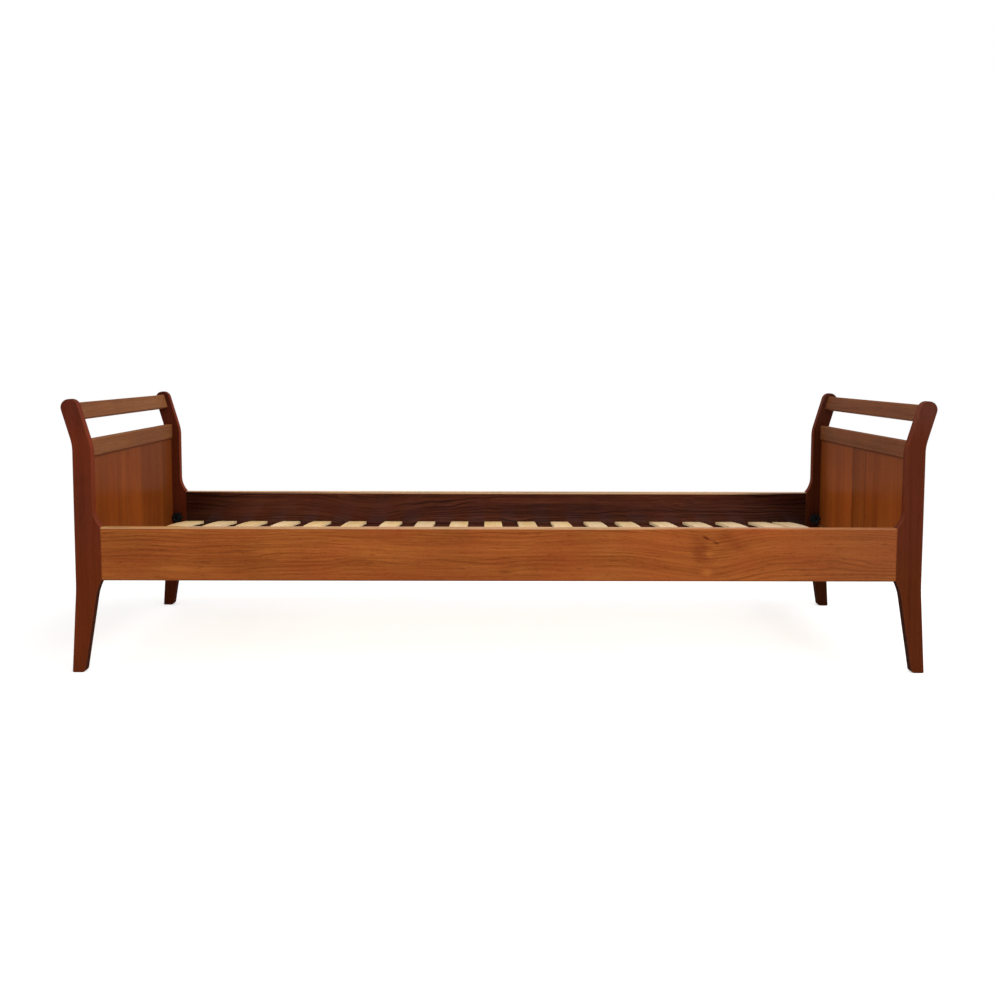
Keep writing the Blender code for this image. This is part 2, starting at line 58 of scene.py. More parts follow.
Socket = bpy.types.NodeSocket
Value = Union[float, Sequence[float], Socket]
Colour = tuple[int, int, int]
Pair = tuple[float, float]
Triple = tuple[float, float, float]
Points = list[bmesh.types.BMVert]

BODY = "bed_frame"
FULL_TURN = 2 * math.pi
SHARP_EDGE = math.radians(38)
SAME_POINT = 1e-6
PLAIN: Triple = (1.0, 1.0, 1.0)
GRAIN_SHADE = (0.25, 0.20, 0.16, 1.0)
# Places of the colour sockets among those of a mix node.
MIX_INPUTS = (0, 6, 7)
MIX_RESULT = 2


class GrainAxis(Enum):
    """The row axis that the grain of a piece runs along, with the order that puts it first."""

    LENGTH = ("X", "Y", "Z")
    WIDTH = ("Y", "X", "Z")
    HEIGHT = ("Z", "X", "Y")


class Direction(Enum):
    """A way along one axis of the bed, with its sign."""

    @property
    def word(self) -> str:
        """Return the direction's word in the names of pieces."""
        return self.name.lower()


class End(Direction):
    """An end of the bed, with its sign along X."""

    LEFT = -1
    RIGHT = 1


class Side(Direction):
    """A side of the bed, with its sign along Y."""

    FRONT = -1
    BACK = 1


def linear(colour: Colour) -> tuple[float, float, float, float]:
    """Turn a display colour into linear light.

    Args:
        colour: red, green and blue from 0 to 255.

    Returns:
        The colour in linear light, with full alpha.
    """
    def channel(value: float) -> float:
        """Return one channel in linear light."""
        share = value / 255
        return share / 12.92 if share <= 0.04045 else ((share + 0.055) / 1.055) ** 2.4

    red, green, blue = (channel(c) for c in colour)
    return red, green, blue, 1.0


class Graph:
    """A node tree with short calls for the nodes that the finishes use."""

    def __init__(self, tree: bpy.types.NodeTree) -> None:
        """Keep the tree that the nodes go into."""
        self.tree = tree

    def put(self, socket: Socket, value: Value) -> None:
        """Link a socket to another, or set its own value.

        Args:
            socket: the socket that takes the value.
            value: the other socket, or the value.
        """
        if isinstance(value, Socket):
            self.tree.links.new(value, socket)
        else:
            socket.default_value = value

    def add(self, kind: str, **settings: object) -> bpy.types.Node:
        """Add a node.

        Args:
            kind: the node's type name.
            settings: properties of the node.

        Returns:
            The new node.
        """
        node = self.tree.nodes.new(kind)
        for name, value in settings.items():
            setattr(node, name, value)
        return node

    def math(self, operation: str, first: Value, second: Value = 0.0) -> Socket:
        """Calculate with one or two values.

        Args:
            operation: the name of the calculation.
            first: its first value.
            second: its second value, where it takes one.

        Returns:
            The result.
        """
        node = self.add("ShaderNodeMath", operation=operation)
        self.put(node.inputs[0], first)
        self.put(node.inputs[1], second)
        return node.outputs[0]

    def times(self, *factors: Value) -> Socket:
        """Return the product of values."""
        return reduce(partial(self.math, "MULTIPLY"), factors)

    def plus(self, *parts: Value) -> Socket:
        """Return the sum of values."""
        return reduce(partial(self.math, "ADD"), parts)

    def minus(self, first: Value, second: Value) -> Socket:
        """Return the difference of two values."""
        return self.math("SUBTRACT", first, second)

    def vector(self, operation: str, first: Value, second: Value = (0.0, 0.0, 0.0)) -> Socket:
        """Calculate with one or two vectors.

        Args:
            operation: the name of the calculation.
            first: its first vector.
            second: its second vector, where it takes one.

        Returns:
            The resulting vector, or the number that a product or a length gives.
        """
        node = self.add("ShaderNodeVectorMath", operation=operation)
        self.put(node.inputs[0], first)
        self.put(node.inputs[1], second)
        return node.outputs["Value" if operation in ("DOT_PRODUCT", "LENGTH") else "Vector"]

    def split(self, vector: Socket) -> dict[str, Socket]:
        """Take a vector apart.

        Args:
            vector: the vector.

        Returns:
            Its three parts by their names.
        """
        node = self.add("ShaderNodeSeparateXYZ")
        self.put(node.inputs[0], vector)
        return {name: node.outputs[name] for name in "XYZ"}

    def join(self, *parts: Value) -> Socket:
        """Make a vector.

        Args:
            parts: its three parts.

        Returns:
            The vector.
        """
        node = self.add("ShaderNodeCombineXYZ")
        for socket, part in zip(node.inputs, parts):
            self.put(socket, part)
        return node.outputs[0]

    def facing(self) -> Socket:
        """Return the way that the surface faces."""
        return self.add("ShaderNodeNewGeometry").outputs["True Normal"]

    def ramp(self, value: Value, low: float, high: float, start: Value = 0.0, end: Value = 1.0) -> Socket:
        """Ease a value from one limit to another.

        Args:
            value: the value to read.
            low: where the ramp starts.
            high: where the ramp ends.
            start: the result up to the low limit.
            end: the result from the high limit on.

        Returns:
            The eased value.
        """
        node = self.add("ShaderNodeMapRange", interpolation_type="SMOOTHSTEP")
        for socket, given in zip(node.inputs, (value, low, high, start, end)):
            self.put(socket, given)
        return node.outputs[0]

    def noise(self, vector: Socket, rate: Sequence[float], detail: float = 2.0, rough: float = 0.5) -> Socket:
        """Read smooth noise.

        Args:
            vector: the place to read it at.
            rate: its cycles per metre along each axis.
            detail: how many finer layers it has.
            rough: how strong these are.

        Returns:
            The noise, from 0 to 1.
        """
        node = self.add("ShaderNodeTexNoise")
        self.put(node.inputs["Vector"], self.vector("MULTIPLY", vector, rate))
        for name, value in (("Scale", 1.0), ("Detail", detail), ("Roughness", rough)):
            self.put(node.inputs[name], value)
        return node.outputs[0]

    def chance(self, value: Value) -> Socket:
        """Draw a fixed random number for a value.

        Args:
            value: the value that the number belongs to.

        Returns:
            The number, from 0 to 1.
        """
        node = self.add("ShaderNodeTexWhiteNoise", noise_dimensions="1D")
        self.put(node.inputs["W"], value)
        return node.outputs["Value"]

    def mix(self, share: Value, first: Value, second: Value, blend: str = "MIX") -> Socket:
        """Blend two colours.

        Args:
            share: how much of the second colour counts.
            first: the colour below.
            second: the colour above.
            blend: the way of blending.

        Returns:
            The blended colour.
        """
        node = self.add("ShaderNodeMix", data_type="RGBA", blend_type=blend, clamp_factor=True)
        for index, value in zip(MIX_INPUTS, (share, first, second)):
            self.put(node.inputs[index], value)
        return node.outputs[MIX_RESULT]

    def toned(self, colour: Value, *tones: Value) -> Socket:
        """Return a colour times one tone, or times three for its channels."""
        return self.mix(1.0, colour, self.join(*(tones if len(tones) > 1 else tones * 3)), "MULTIPLY")

    def stained(self, colour: Value, mask: Value, share: Value, stain: Colour) -> Socket:
        """Return a colour with a share of a stain laid over it inside a mask."""
        return self.mix(self.times(mask, share), colour, linear(stain))

    def bump(self, height: Socket, distance: float, strength: float) -> Socket:
        """Turn a height over the surface into a normal.

        Args:
            height: the height.
            distance: what a height of 1 stands for, in metres.
            strength: the share that shows.

        Returns:
            The normal.
        """
        node = self.add("ShaderNodeBump")
        for name, value in (("Strength", strength), ("Distance", distance), ("Height", height)):
            self.put(node.inputs[name], value)
        return node.outputs[0]


@dataclass(frozen=True)
class Speckle:
    """Smooth noise cut to a mask: its rate, the noise that the mask starts and ends at, its detail and its range."""

    rate: Triple
    low: float
    high: float
    detail: float = 2.0
    rough: float = 0.5
    least: float = 0.0
    most: float = 1.0

    def mask(self, graph: Graph, place: Socket) -> Socket:
        """Return the mask at a place."""
        noise = graph.noise(place, self.rate, self.detail, self.rough)
        return graph.ramp(noise, self.low, self.high, self.least, self.most)


class SharedEffect:
    """A shader node group that several finishes place, each with its own values."""

    title: ClassVar[str]
    takes: ClassVar[dict[str, Optional[float]]]
    gives: ClassVar[tuple[str, ...]]

    def __init__(self) -> None:
        """Build the group once, with a vector input wherever no number is given."""
        self.tree = bpy.data.node_groups.new(self.title, "ShaderNodeTree")
        for name, start in self.takes.items():
            kind = "NodeSocketVector" if start is None else "NodeSocketFloat"
            socket = self.tree.interface.new_socket(name, in_out="INPUT", socket_type=kind)
            if start is not None:
                socket.default_value = start
        for name in self.gives:
            self.tree.interface.new_socket(name, in_out="OUTPUT", socket_type="NodeSocketFloat")
        graph = Graph(self.tree)
        given = graph.add("NodeGroupInput").outputs
        result = graph.add("NodeGroupOutput").inputs
        for name, value in self.wire(graph, given).items():
            graph.put(result[name], value)

    def wire(self, graph: Graph, given: bpy.types.NodeOutputs) -> dict[str, Socket]:
        """Return the group's results from its inputs."""
        raise NotImplementedError

    def place(self, graph: Graph, **values: Value) -> dict[str, Socket]:
        """Place the group in a material.

        Args:
            graph: the material's nodes.
            values: the group's inputs by name, with spaces as underlines.

        Returns:
            The group's results by name.
        """
        node = graph.add("ShaderNodeGroup", node_tree=self.tree)
        for name, value in values.items():
            graph.put(node.inputs[name.replace("_", " ").title()], value)
        return {name: node.outputs[name] for name in self.gives}


class WoodFigure(SharedEffect):
    """Grain of a sawn board: bands, streaks, fibre, flecks, pores and growth rings, all drawn out along X."""

    title = "wood_figure"
    takes = {"Vector": None, "Band Rate": 38.0, "Wander": 0.006, "Length": 1.0, "Ring Rate": 105.0}
    gives = ("Bands", "Streaks", "Fibre", "Flecks", "Pores", "Rings")
    drift_rate: ClassVar[Triple] = (1.6, 7.0, 7.0)
    ripple_rate: ClassVar[Triple] = (9.0, 30.0, 30.0)
    ripple_share: ClassVar[float] = 0.22
    wander_gain: ClassVar[float] = 6.0
    band_stretch: ClassVar[float] = 0.55
    bands: ClassVar[Speckle] = Speckle(PLAIN, 0.30, 0.70, 3.0, 0.6)
    layers: ClassVar[dict[str, Speckle]] = {
        "Streaks": Speckle((2.2, 250.0, 250.0), 0.28, 0.72, 2.0, 0.6),
        "Fibre": Speckle((9.0, 900.0, 900.0), 0.25, 0.75, 1.0),
        "Flecks": Speckle((20.0, 260.0, 260.0), 0.60, 0.76, 1.0),
        "Pores": Speckle((55.0, 1500.0, 1500.0), 0.64, 0.76, 0.0),
    }
    bow_rate: ClassVar[Triple] = (1.3, 9.0, 9.0)
    bow_turns: ClassVar[float] = 7.0
    ring_limits: ClassVar[Pair] = (0.25, 0.95)
    ring_patches: ClassVar[Speckle] = Speckle((1.7, 22.0, 22.0), 0.44, 0.62, 1.0)

    def wire(self, graph: Graph, given: bpy.types.NodeOutputs) -> dict[str, Socket]:
        """Draw the grain.

        Args:
            graph: the group's nodes.
            given: the group's inputs.

        Returns:
            The masks of all the grain's layers, each from 0 to 1.
        """
        place = given["Vector"]
        drift = graph.minus(graph.noise(place, self.drift_rate), 0.5)
        ripple = graph.minus(graph.noise(place, self.ripple_rate, 1.0), 0.5)
        shift = graph.plus(drift, graph.times(ripple, self.ripple_share))
        shift = graph.times(shift, graph.times(given["Wander"], self.wander_gain))
        parts = graph.split(graph.vector("ADD", place, graph.join(0.0, shift, shift)))
        place = graph.join(graph.times(parts["X"], given["Length"]), parts["Y"], parts["Z"])
        rate = graph.join(self.band_stretch, given["Band Rate"], given["Band Rate"])
        masks = {name: layer.mask(graph, place) for name, layer in self.layers.items()}
        masks["Bands"] = self.bands.mask(graph, graph.vector("MULTIPLY", place, rate))
        across = graph.times(graph.plus(parts["Y"], parts["Z"]), given["Ring Rate"])
        bow = graph.times(graph.noise(place, self.bow_rate, 1.0), self.bow_turns)
        wave = graph.math("SINE", graph.times(graph.plus(across, bow), FULL_TURN))
        masks["Rings"] = graph.times(graph.ramp(wave, *self.ring_limits), self.ring_patches.mask(graph, place))
        return masks


class EdgeWear(SharedEffect):
    """Where edges are rubbed: the rounded normal turns away from the true one, broken up by noise."""

    title = "edge_wear"
    takes = {"Vector": None, "Reach": 0.004}
    gives = ("Edge",)
    turn_limits: ClassVar[Pair] = (0.97, 0.80)
    patches: ClassVar[Speckle] = Speckle((26.0, 26.0, 26.0), 0.35, 0.7, 4.0, 0.65, 0.25)

    def wire(self, graph: Graph, given: bpy.types.NodeOutputs) -> dict[str, Socket]:
        """Find the edges.

        Args:
            graph: the group's nodes.
            given: the group's inputs.

        Returns:
            The mask of the edges, from 0 to 1.
        """
        soft = graph.add("ShaderNodeBevel", samples=4)
        graph.put(soft.inputs["Radius"], given["Reach"])
        turn = graph.vector("DOT_PRODUCT", soft.outputs[0], graph.facing())
        return {"Edge": graph.times(graph.ramp(turn, *self.turn_limits), self.patches.mask(graph, given["Vector"]))}


class Handling(SharedEffect):
    """Years of use: slow changes of tone over a piece, and small scuffs."""

    title = "handling"
    takes = {"Vector": None, "Size": 4.0}
    gives = ("Tone", "Scuffs")
    tone: ClassVar[Speckle] = Speckle(PLAIN, 0.25, 0.75, 3.0, 0.55)
    scuffs: ClassVar[Speckle] = Speckle((60.0, 22.0, 60.0), 0.66, 0.82, 5.0, 0.7)

    def wire(self, graph: Graph, given: bpy.types.NodeOutputs) -> dict[str, Socket]:
        """Draw the traces of use.

        Args:
            graph: the group's nodes.
            given: the group's inputs.

        Returns:
            The slow tone and the mask of the scuffs, each from 0 to 1.
        """
        size = graph.join(given["Size"], given["Size"], given["Size"])
        slow = graph.vector("MULTIPLY", given["Vector"], size)
        return {"Tone": self.tone.mask(graph, slow), "Scuffs": self.scuffs.mask(graph, given["Vector"])}


@dataclass(frozen=True)
class Effects:
    """The shared node groups, each built once."""

    figure: WoodFigure = field(default_factory=WoodFigure)
    wear: EdgeWear = field(default_factory=EdgeWear)
    handling: Handling = field(default_factory=Handling)


@dataclass(frozen=True)
class Finish:
    """A finish of one kind of surface."""

    name: str

    def surface(self, graph: Graph, effects: Effects) -> dict[str, Value]:
        """Return what the surface shader's sockets take."""
        raise NotImplementedError

    def build(self, effects: Effects) -> bpy.types.Material:
        """Make the material.

        Args:
            effects: the shared node groups.

        Returns:
            The new material.
        """
        material = bpy.data.materials.new(self.name)
        material.use_nodes = True
        graph = Graph(material.node_tree)
        shader = material.node_tree.nodes["Principled BSDF"]
        for name, value in self.surface(graph, effects).items():
            graph.put(shader.inputs[name], value)
        return material

    @staticmethod
    def place(graph: Graph) -> Socket:
        """Return the place on the bed, in metres, that moves with the piece."""
        return graph.add("ShaderNodeTexCoord").outputs["Object"]


@dataclass(frozen=True)
class TeakFinish(Finish):
    """Oiled teak with its grain along one axis."""

    deep: Colour
    pale: Colour
    red: Colour
    worn: Colour
    grain: GrainAxis
    band_rate: float = 38.0
    wander: float = 0.006
    length: float = 1.0
    contrast: float = 0.7
    streak_share: float = 0.45
    fibre_share: float = 0.15
    red_share: float = 0.35
    zone_stretch: Triple = (0.45, 1.0, 1.0)
    zone_size: float = 15.0
    slow_tones: Pair = (0.93, 1.07)
    fleck_share: float = 0.15
    pore_share: float = 0.35
    ring_share: float = 0.0
    wear_share: float = 0.25
    scuff_share: float = 0.10
    inner_face: float = 0.455
    inner_blend: Pair = (0.0005, 0.0030)
    # Tones of the face that looks into the bed: darker wood there, partly painted shade.
    inside: Triple = PLAIN
    inside_rings: float = 0.0
    roughness: float = 0.50
    fibre_roughness: float = 0.08
    scuff_roughness: float = 0.12
    coat: float = 0.06
    coat_roughness: float = 0.28
    relief: Pair = (0.00012, 0.6)

    def oriented(self, graph: Graph, place: Socket) -> Socket:
        """Return the place with the grain along X."""
        parts = graph.split(place)
        return graph.join(*(parts[axis] for axis in self.grain.value))

    def bent(self, graph: Graph, place: Socket) -> Socket:
        """Return the place as the grain sees it: a board with a knot or with leaves bends it."""
        return self.oriented(graph, place)

    def tinted(self, graph: Graph, place: Socket, colour: Socket) -> Socket:
        """Return the colour with the marks of one kind of board."""
        return colour

    def edged(self, graph: Graph, place: Socket, colour: Socket) -> Socket:
        """Return the colour with the tones of a shaped board's edges, painted light and shade among them."""
        return colour

    def rubbed_and_highlighted(self, graph: Graph, place: Socket, colour: Socket) -> Socket:
        """Return the colour with painted highlights on a board's edges, where it has them."""
        return colour

    def inside_tone(self, graph: Graph, place: Socket) -> Value:
        """Return the tone of the face that looks into the bed, over the board."""
        return 1.0

    def gloss(self, graph: Graph, place: Socket) -> Value:
        """Return how much of the surface is polished."""
        return self.coat

    def by_face(self, graph: Graph, place: Socket, inner: Value, outer: Value) -> Socket:
        """Tell the face that looks into the bed from the rest.

        Args:
            graph: the material's nodes.
            place: the place on the bed.
            inner: the value on that face.
            outer: the value elsewhere.

        Returns:
            The value of the place.
        """
        depth = graph.math("ABSOLUTE", graph.split(place)["Y"])
        low, high = (self.inner_face + step for step in self.inner_blend)
        return graph.ramp(depth, low, high, inner, outer)

    def dimmed(self, graph: Graph, place: Socket, colour: Socket) -> Socket:
        """Darken the face that looks into the bed: darker wood there, partly painted shade.

        Args:
            graph: the material's nodes.
            place: the place on the bed.
            colour: the colour so far.

        Returns:
            The new colour.
        """
        shade = self.inside_tone(graph, place)
        tones = [self.by_face(graph, place, graph.times(shade, part), 1.0) for part in self.inside]
        return graph.toned(colour, *tones)

    def grained(self, graph: Graph, figure: dict[str, Socket], zones: Socket) -> Socket:
        """Colour the bare grain.

        Args:
            graph: the material's nodes.
            figure: the layers of the grain.
            zones: the mask of the redder wood.

        Returns:
            The colour.
        """
        band_share = 1.0 - self.fibre_share - self.streak_share
        share = graph.plus(graph.times(figure["Streaks"], self.streak_share),
                           graph.times(figure["Bands"], band_share),
                           graph.times(figure["Fibre"], self.fibre_share))
        share = graph.plus(graph.times(share, self.contrast), 0.5 - 0.5 * self.contrast)
        colour = graph.mix(share, linear(self.deep), linear(self.pale))
        return graph.stained(colour, zones, self.red_share, self.red)

    def surface(self, graph: Graph, effects: Effects) -> dict[str, Value]:
        """Make the wood's surface.

        Args:
            graph: the material's nodes.
            effects: the shared node groups.

        Returns:
            Colour, roughness, polish and normal of the wood.
        """
        place = self.place(graph)
        board = self.bent(graph, place)
        figure = effects.figure.place(graph, vector=board, band_rate=self.band_rate, wander=self.wander,
                                      length=self.length)
        use = effects.handling.place(graph, vector=place)
        drawn_out = graph.vector("MULTIPLY", board, self.zone_stretch)
        zones = effects.handling.place(graph, vector=drawn_out, size=self.zone_size)["Tone"]
        colour = self.grained(graph, figure, zones)
        colour = graph.toned(colour, graph.ramp(use["Tone"], 0.0, 1.0, *self.slow_tones))
        colour = self.tinted(graph, place, colour)
        rings: Value = self.ring_share
        # Darker inner face: the wood's own tone with painted shade.
        if min(self.inside) < 1.0:
            colour = self.dimmed(graph, place, colour)
            rings = self.by_face(graph, place, self.inside_rings, self.ring_share)
        colour = self.edged(graph, place, colour)
        for layer, share in (("Flecks", self.fleck_share), ("Pores", self.pore_share), ("Rings", rings)):
            colour = graph.mix(graph.times(figure[layer], share), colour, GRAIN_SHADE, "MULTIPLY")
        colour = self.rubbed_and_highlighted(graph, place, colour)
        edge = effects.wear.place(graph, vector=place)["Edge"]
        colour = graph.stained(colour, edge, self.wear_share, self.worn)
        colour = graph.stained(colour, use["Scuffs"], self.scuff_share, self.worn)
        rough = graph.plus(graph.times(figure["Fibre"], self.fibre_roughness),
                           self.roughness - self.fibre_roughness / 2,
                           graph.times(use["Scuffs"], self.scuff_roughness))
        height = graph.minus(graph.times(figure["Streaks"], 0.5), figure["Pores"])
        return {"Base Color": colour, "Roughness": rough, "Specular IOR Level": 0.0,
                "Coat Weight": self.gloss(graph, place), "Coat Roughness": self.coat_roughness,
                "Normal": graph.bump(height, *self.relief)}


@dataclass(frozen=True)
class PostFinish(TeakFinish):
    """Dark teak of a post, with a duller head, a warmer leg, painted light on the inner edges above the side rail and
    painted shade on them and on the leg's inner face below it.
    """

    grain: GrainAxis = GrainAxis.HEIGHT
    wander: float = 0.003
    contrast: float = 0.9
    streak_share: float = 0.35
    wear_share: float = 0.4
    coat: float = 0.03
    inward_limits: Pair = (-0.3, -0.8)
    edge_heights: Pair = (0.23, 0.36)
    # Painted shade on the inward edges down the leg, painted light on them above the side rail.
    edge_shade_and_light: Pair = (0.45, 1.5)
    head_heights: Pair = (0.56, 0.65)
    head: Triple = PLAIN
    foot: Triple = (1.0, 1.0, 0.68)
    # Painted shade on the leg's inner face, under the bed.
    leg_shade: float = 1.0

    def inside_tone(self, graph: Graph, place: Socket) -> Value:
        """Return the tone of the inner face, with painted shade on the leg, under the bed."""
        return graph.ramp(graph.split(place)["Z"], *self.edge_heights, self.leg_shade, 1.0)

    def edged(self, graph: Graph, place: Socket, colour: Socket) -> Socket:
        """Paint light on the edges that face along the bed above the side rail and shade on them below it, and tone
        the head and the leg.

        Args:
            graph: the material's nodes.
            place: the place on the bed.
            colour: the colour so far.

        Returns:
            The new colour.
        """
        parts = graph.split(place)
        facing = graph.split(graph.facing())["X"]
        inward = graph.ramp(graph.times(graph.math("SIGN", parts["X"]), facing), *self.inward_limits)
        # Painted light and shade on the edges that face along the bed.
        tone = graph.ramp(parts["Z"], *self.edge_heights, *self.edge_shade_and_light)
        colour = graph.toned(colour, graph.plus(1.0, graph.times(inward, graph.minus(tone, 1.0))))
        for heights, low, high in ((self.edge_heights, self.foot, PLAIN), (self.head_heights, PLAIN, self.head)):
            colour = graph.toned(colour, *(graph.ramp(parts["Z"], *heights, *ends) for ends in zip(low, high)))
        return colour


@dataclass(frozen=True)
class Spot:
    """A slanted spot near a knot: its place from the knot, half length, half height, strength and fall."""

    along: float
    up: float
    half_length: float
    half_height: float
    share: float
    slope: float = 0.0


@dataclass(frozen=True)
class KnottyRailFinish(TeakFinish):
    """Teak of a side rail, with a knot that the grain dips to, a polished top edge with a painted highlight, painted
    highlights on the lips beside it and painted shade along its lower edge and at the ends of its inner face.
    """

    grain: GrainAxis = GrainAxis.LENGTH
    red_share: float = 0.55
    fleck_share: float = 0.3
    coat_roughness: float = 0.16
    inside_rings: float = 0.8
    # Painted shade on the inner face near the rail's ends, beside the posts.
    end_places: Pair = (0.70, 0.97)
    end_tone: float = 0.45
    knot: Pair = (0.517, 0.330)
    dip: float = 0.026
    dip_left: Pair = (-0.22, 0.0)
    dip_right: Pair = (0.16, 0.0)
    wobble: float = 0.9
    wobble_rate: float = 0.7
    spot_limits: Pair = (1.55, 0.65)
    halo: Colour = (124, 54, 24)
    halo_spots: tuple[Spot, ...] = (Spot(-0.026, -0.020, 0.038, 0.050, 0.55, 0.5),
                                    Spot(0.052, -0.002, 0.060, 0.026, 0.4, 0.5))
    pale_spots: tuple[Spot, ...] = (Spot(-0.004, -0.034, 0.016, 0.012, 0.7),
                                    Spot(-0.010, -0.080, 0.020, 0.012, 0.7))
    mark: Colour = (84, 26, 10)
    mark_spots: tuple[Spot, ...] = (Spot(-0.0136, 0.0058, 0.0110, 0.0048, 0.75, 0.45),
                                    Spot(0.0122, -0.0073, 0.0090, 0.0050, 0.65, 0.45),
                                    Spot(0.0, 0.0, 0.0180, 0.0036, 0.30, 0.45))
    dull: Colour = (124, 74, 46)
    dull_places: Pair = (0.60, 0.95)
    dull_share: float = 0.35
    # Painted shade: a dark line along the rail's lower edge.
    bottom: float = 0.2275
    shade_line_steps: Pair = (0.0045, 0.0005)
    shade_line_share: float = 0.45
    joint: float = 0.9725
    joint_steps: Pair = (0.0028, 0.0006)
    joint_share: float = 0.6
    top: float = 0.359
    rounding: float = 0.0035
    crest: float = 0.0005
    # Painted highlight on the rounded top edge and on the lips beside it: the edge's colour gains, where along the
    # rail they count, and the lips' colour and places.
    retinted: Triple = (1.75, 3.6, 5.9)
    highlight_places: Pair = (0.25, 0.60)
    highlight_shares: Pair = (0.65, 0.65)
    lip_highlight: Colour = (190, 140, 98)
    lip_highlight_heights: Pair = (0.3543, 0.3563)
    lip_highlight_left: Pair = (-1.2, -1.1)
    lip_highlight_right: Pair = (0.50, 0.25)
    lip_highlight_share: float = 0.8
    polish: float = 0.30
    sheen: float = 0.20

    def knot_offset(self, graph: Graph, place: Socket) -> tuple[Socket, Socket]:
        """Return how far a place lies from the knot along the rail and up."""
        parts = graph.split(place)
        return graph.minus(parts["X"], self.knot[0]), graph.minus(parts["Z"], self.knot[1])

    def bent(self, graph: Graph, place: Socket) -> Socket:
        """Draw the grain down at the knot.

        Args:
            graph: the material's nodes.
            place: the place on the bed.

        Returns:
            The place as the grain sees it.
        """
        along, _ = self.knot_offset(graph, place)
        fall = graph.times(graph.ramp(along, *self.dip_left), graph.ramp(along, *self.dip_right), self.dip)
        return self.oriented(graph, graph.vector("ADD", place, graph.join(0.0, 0.0, fall)))

    def inside_tone(self, graph: Graph, place: Socket) -> Value:
        """Return the tone of the inner face, with painted shade that darkens it near the rail's ends."""
        return graph.ramp(graph.math("ABSOLUTE", graph.split(place)["X"]), *self.end_places, 1.0, self.end_tone)

    def spot(self, graph: Graph, place: Socket, spot: Spot) -> Socket:
        """Draw an uneven spot near the knot.

        Args:
            graph: the material's nodes.
            place: the place on the bed.
            spot: the spot's place and form.

        Returns:
            The mask of the spot, from 0 to 1.
        """
        along, up = self.knot_offset(graph, place)
        along = graph.minus(along, spot.along)
        up = graph.plus(graph.minus(up, spot.up), graph.times(along, spot.slope))
        near = graph.vector("LENGTH", graph.join(graph.math("DIVIDE", along, spot.half_length), 0.0,
                                                 graph.math("DIVIDE", up, spot.half_height)))
        rate = self.wobble_rate / max(spot.half_length, spot.half_height)
        wobble = graph.times(graph.noise(place, (rate, rate, rate), 3.0), self.wobble)
        return graph.ramp(graph.plus(near, wobble), *self.spot_limits)

    def tinted(self, graph: Graph, place: Socket, colour: Socket) -> Socket:
        """Add the duller end, the knot, painted shade along the lower edge and the dark joints.

        Args:
            graph: the material's nodes.
            place: the place on the bed.
            colour: the colour so far.

        Returns:
            The new colour.
        """
        parts = graph.split(place)
        colour = graph.stained(colour, graph.ramp(parts["X"], *self.dull_places), self.dull_share, self.dull)
        kinds = (self.halo_spots, self.halo), (self.pale_spots, self.pale), (self.mark_spots, self.mark)
        for spot, stain in ((spot, stain) for spots, stain in kinds for spot in spots):
            colour = graph.stained(colour, self.spot(graph, place, spot), spot.share, stain)
        # Painted shade along the lower edge.
        low, high = (self.bottom + step for step in self.shade_line_steps)
        colour = graph.stained(colour, graph.ramp(parts["Z"], low, high), self.shade_line_share, self.mark)
        low, high = (self.joint - step for step in self.joint_steps)
        joint = graph.ramp(graph.math("ABSOLUTE", parts["X"]), low, high)
        return graph.stained(colour, joint, self.joint_share, self.mark)

    def top_edge(self, graph: Graph, place: Socket) -> Socket:
        """Return the mask of the rounded top edge."""
        return graph.ramp(graph.split(place)["Z"], self.top - self.rounding, self.top - self.crest)

    def rubbed_and_highlighted(self, graph: Graph, place: Socket, colour: Socket) -> Socket:
        """Paint a highlight on the top edge, which keeps its grain, and on the lips beside it.

        Args:
            graph: the material's nodes.
            place: the place on the bed.
            colour: the colour so far.

        Returns:
            The new colour.
        """
        parts = graph.split(place)
        edge = self.top_edge(graph, place)
        # Painted highlight on the lips beside the top edge.
        lip_highlight = graph.times(graph.ramp(parts["Z"], *self.lip_highlight_heights), graph.ramp(parts["X"], *self.lip_highlight_left),
                          graph.ramp(parts["X"], *self.lip_highlight_right), graph.minus(1.0, edge))
        colour = graph.stained(colour, lip_highlight, self.lip_highlight_share, self.lip_highlight)
        # Painted highlight: the top edge's colour is lightened.
        highlight = graph.times(edge, graph.ramp(parts["X"], *self.highlight_places, *self.highlight_shares))
        return graph.mix(highlight, colour, (*self.retinted, 1.0), "MULTIPLY")

    def gloss(self, graph: Graph, place: Socket) -> Value:
        """Return the polish of the top edge and of the face that looks into the bed."""
        inner = self.by_face(graph, place, self.sheen, self.coat)
        return graph.math("MAXIMUM", inner, graph.times(self.top_edge(graph, place), self.polish))


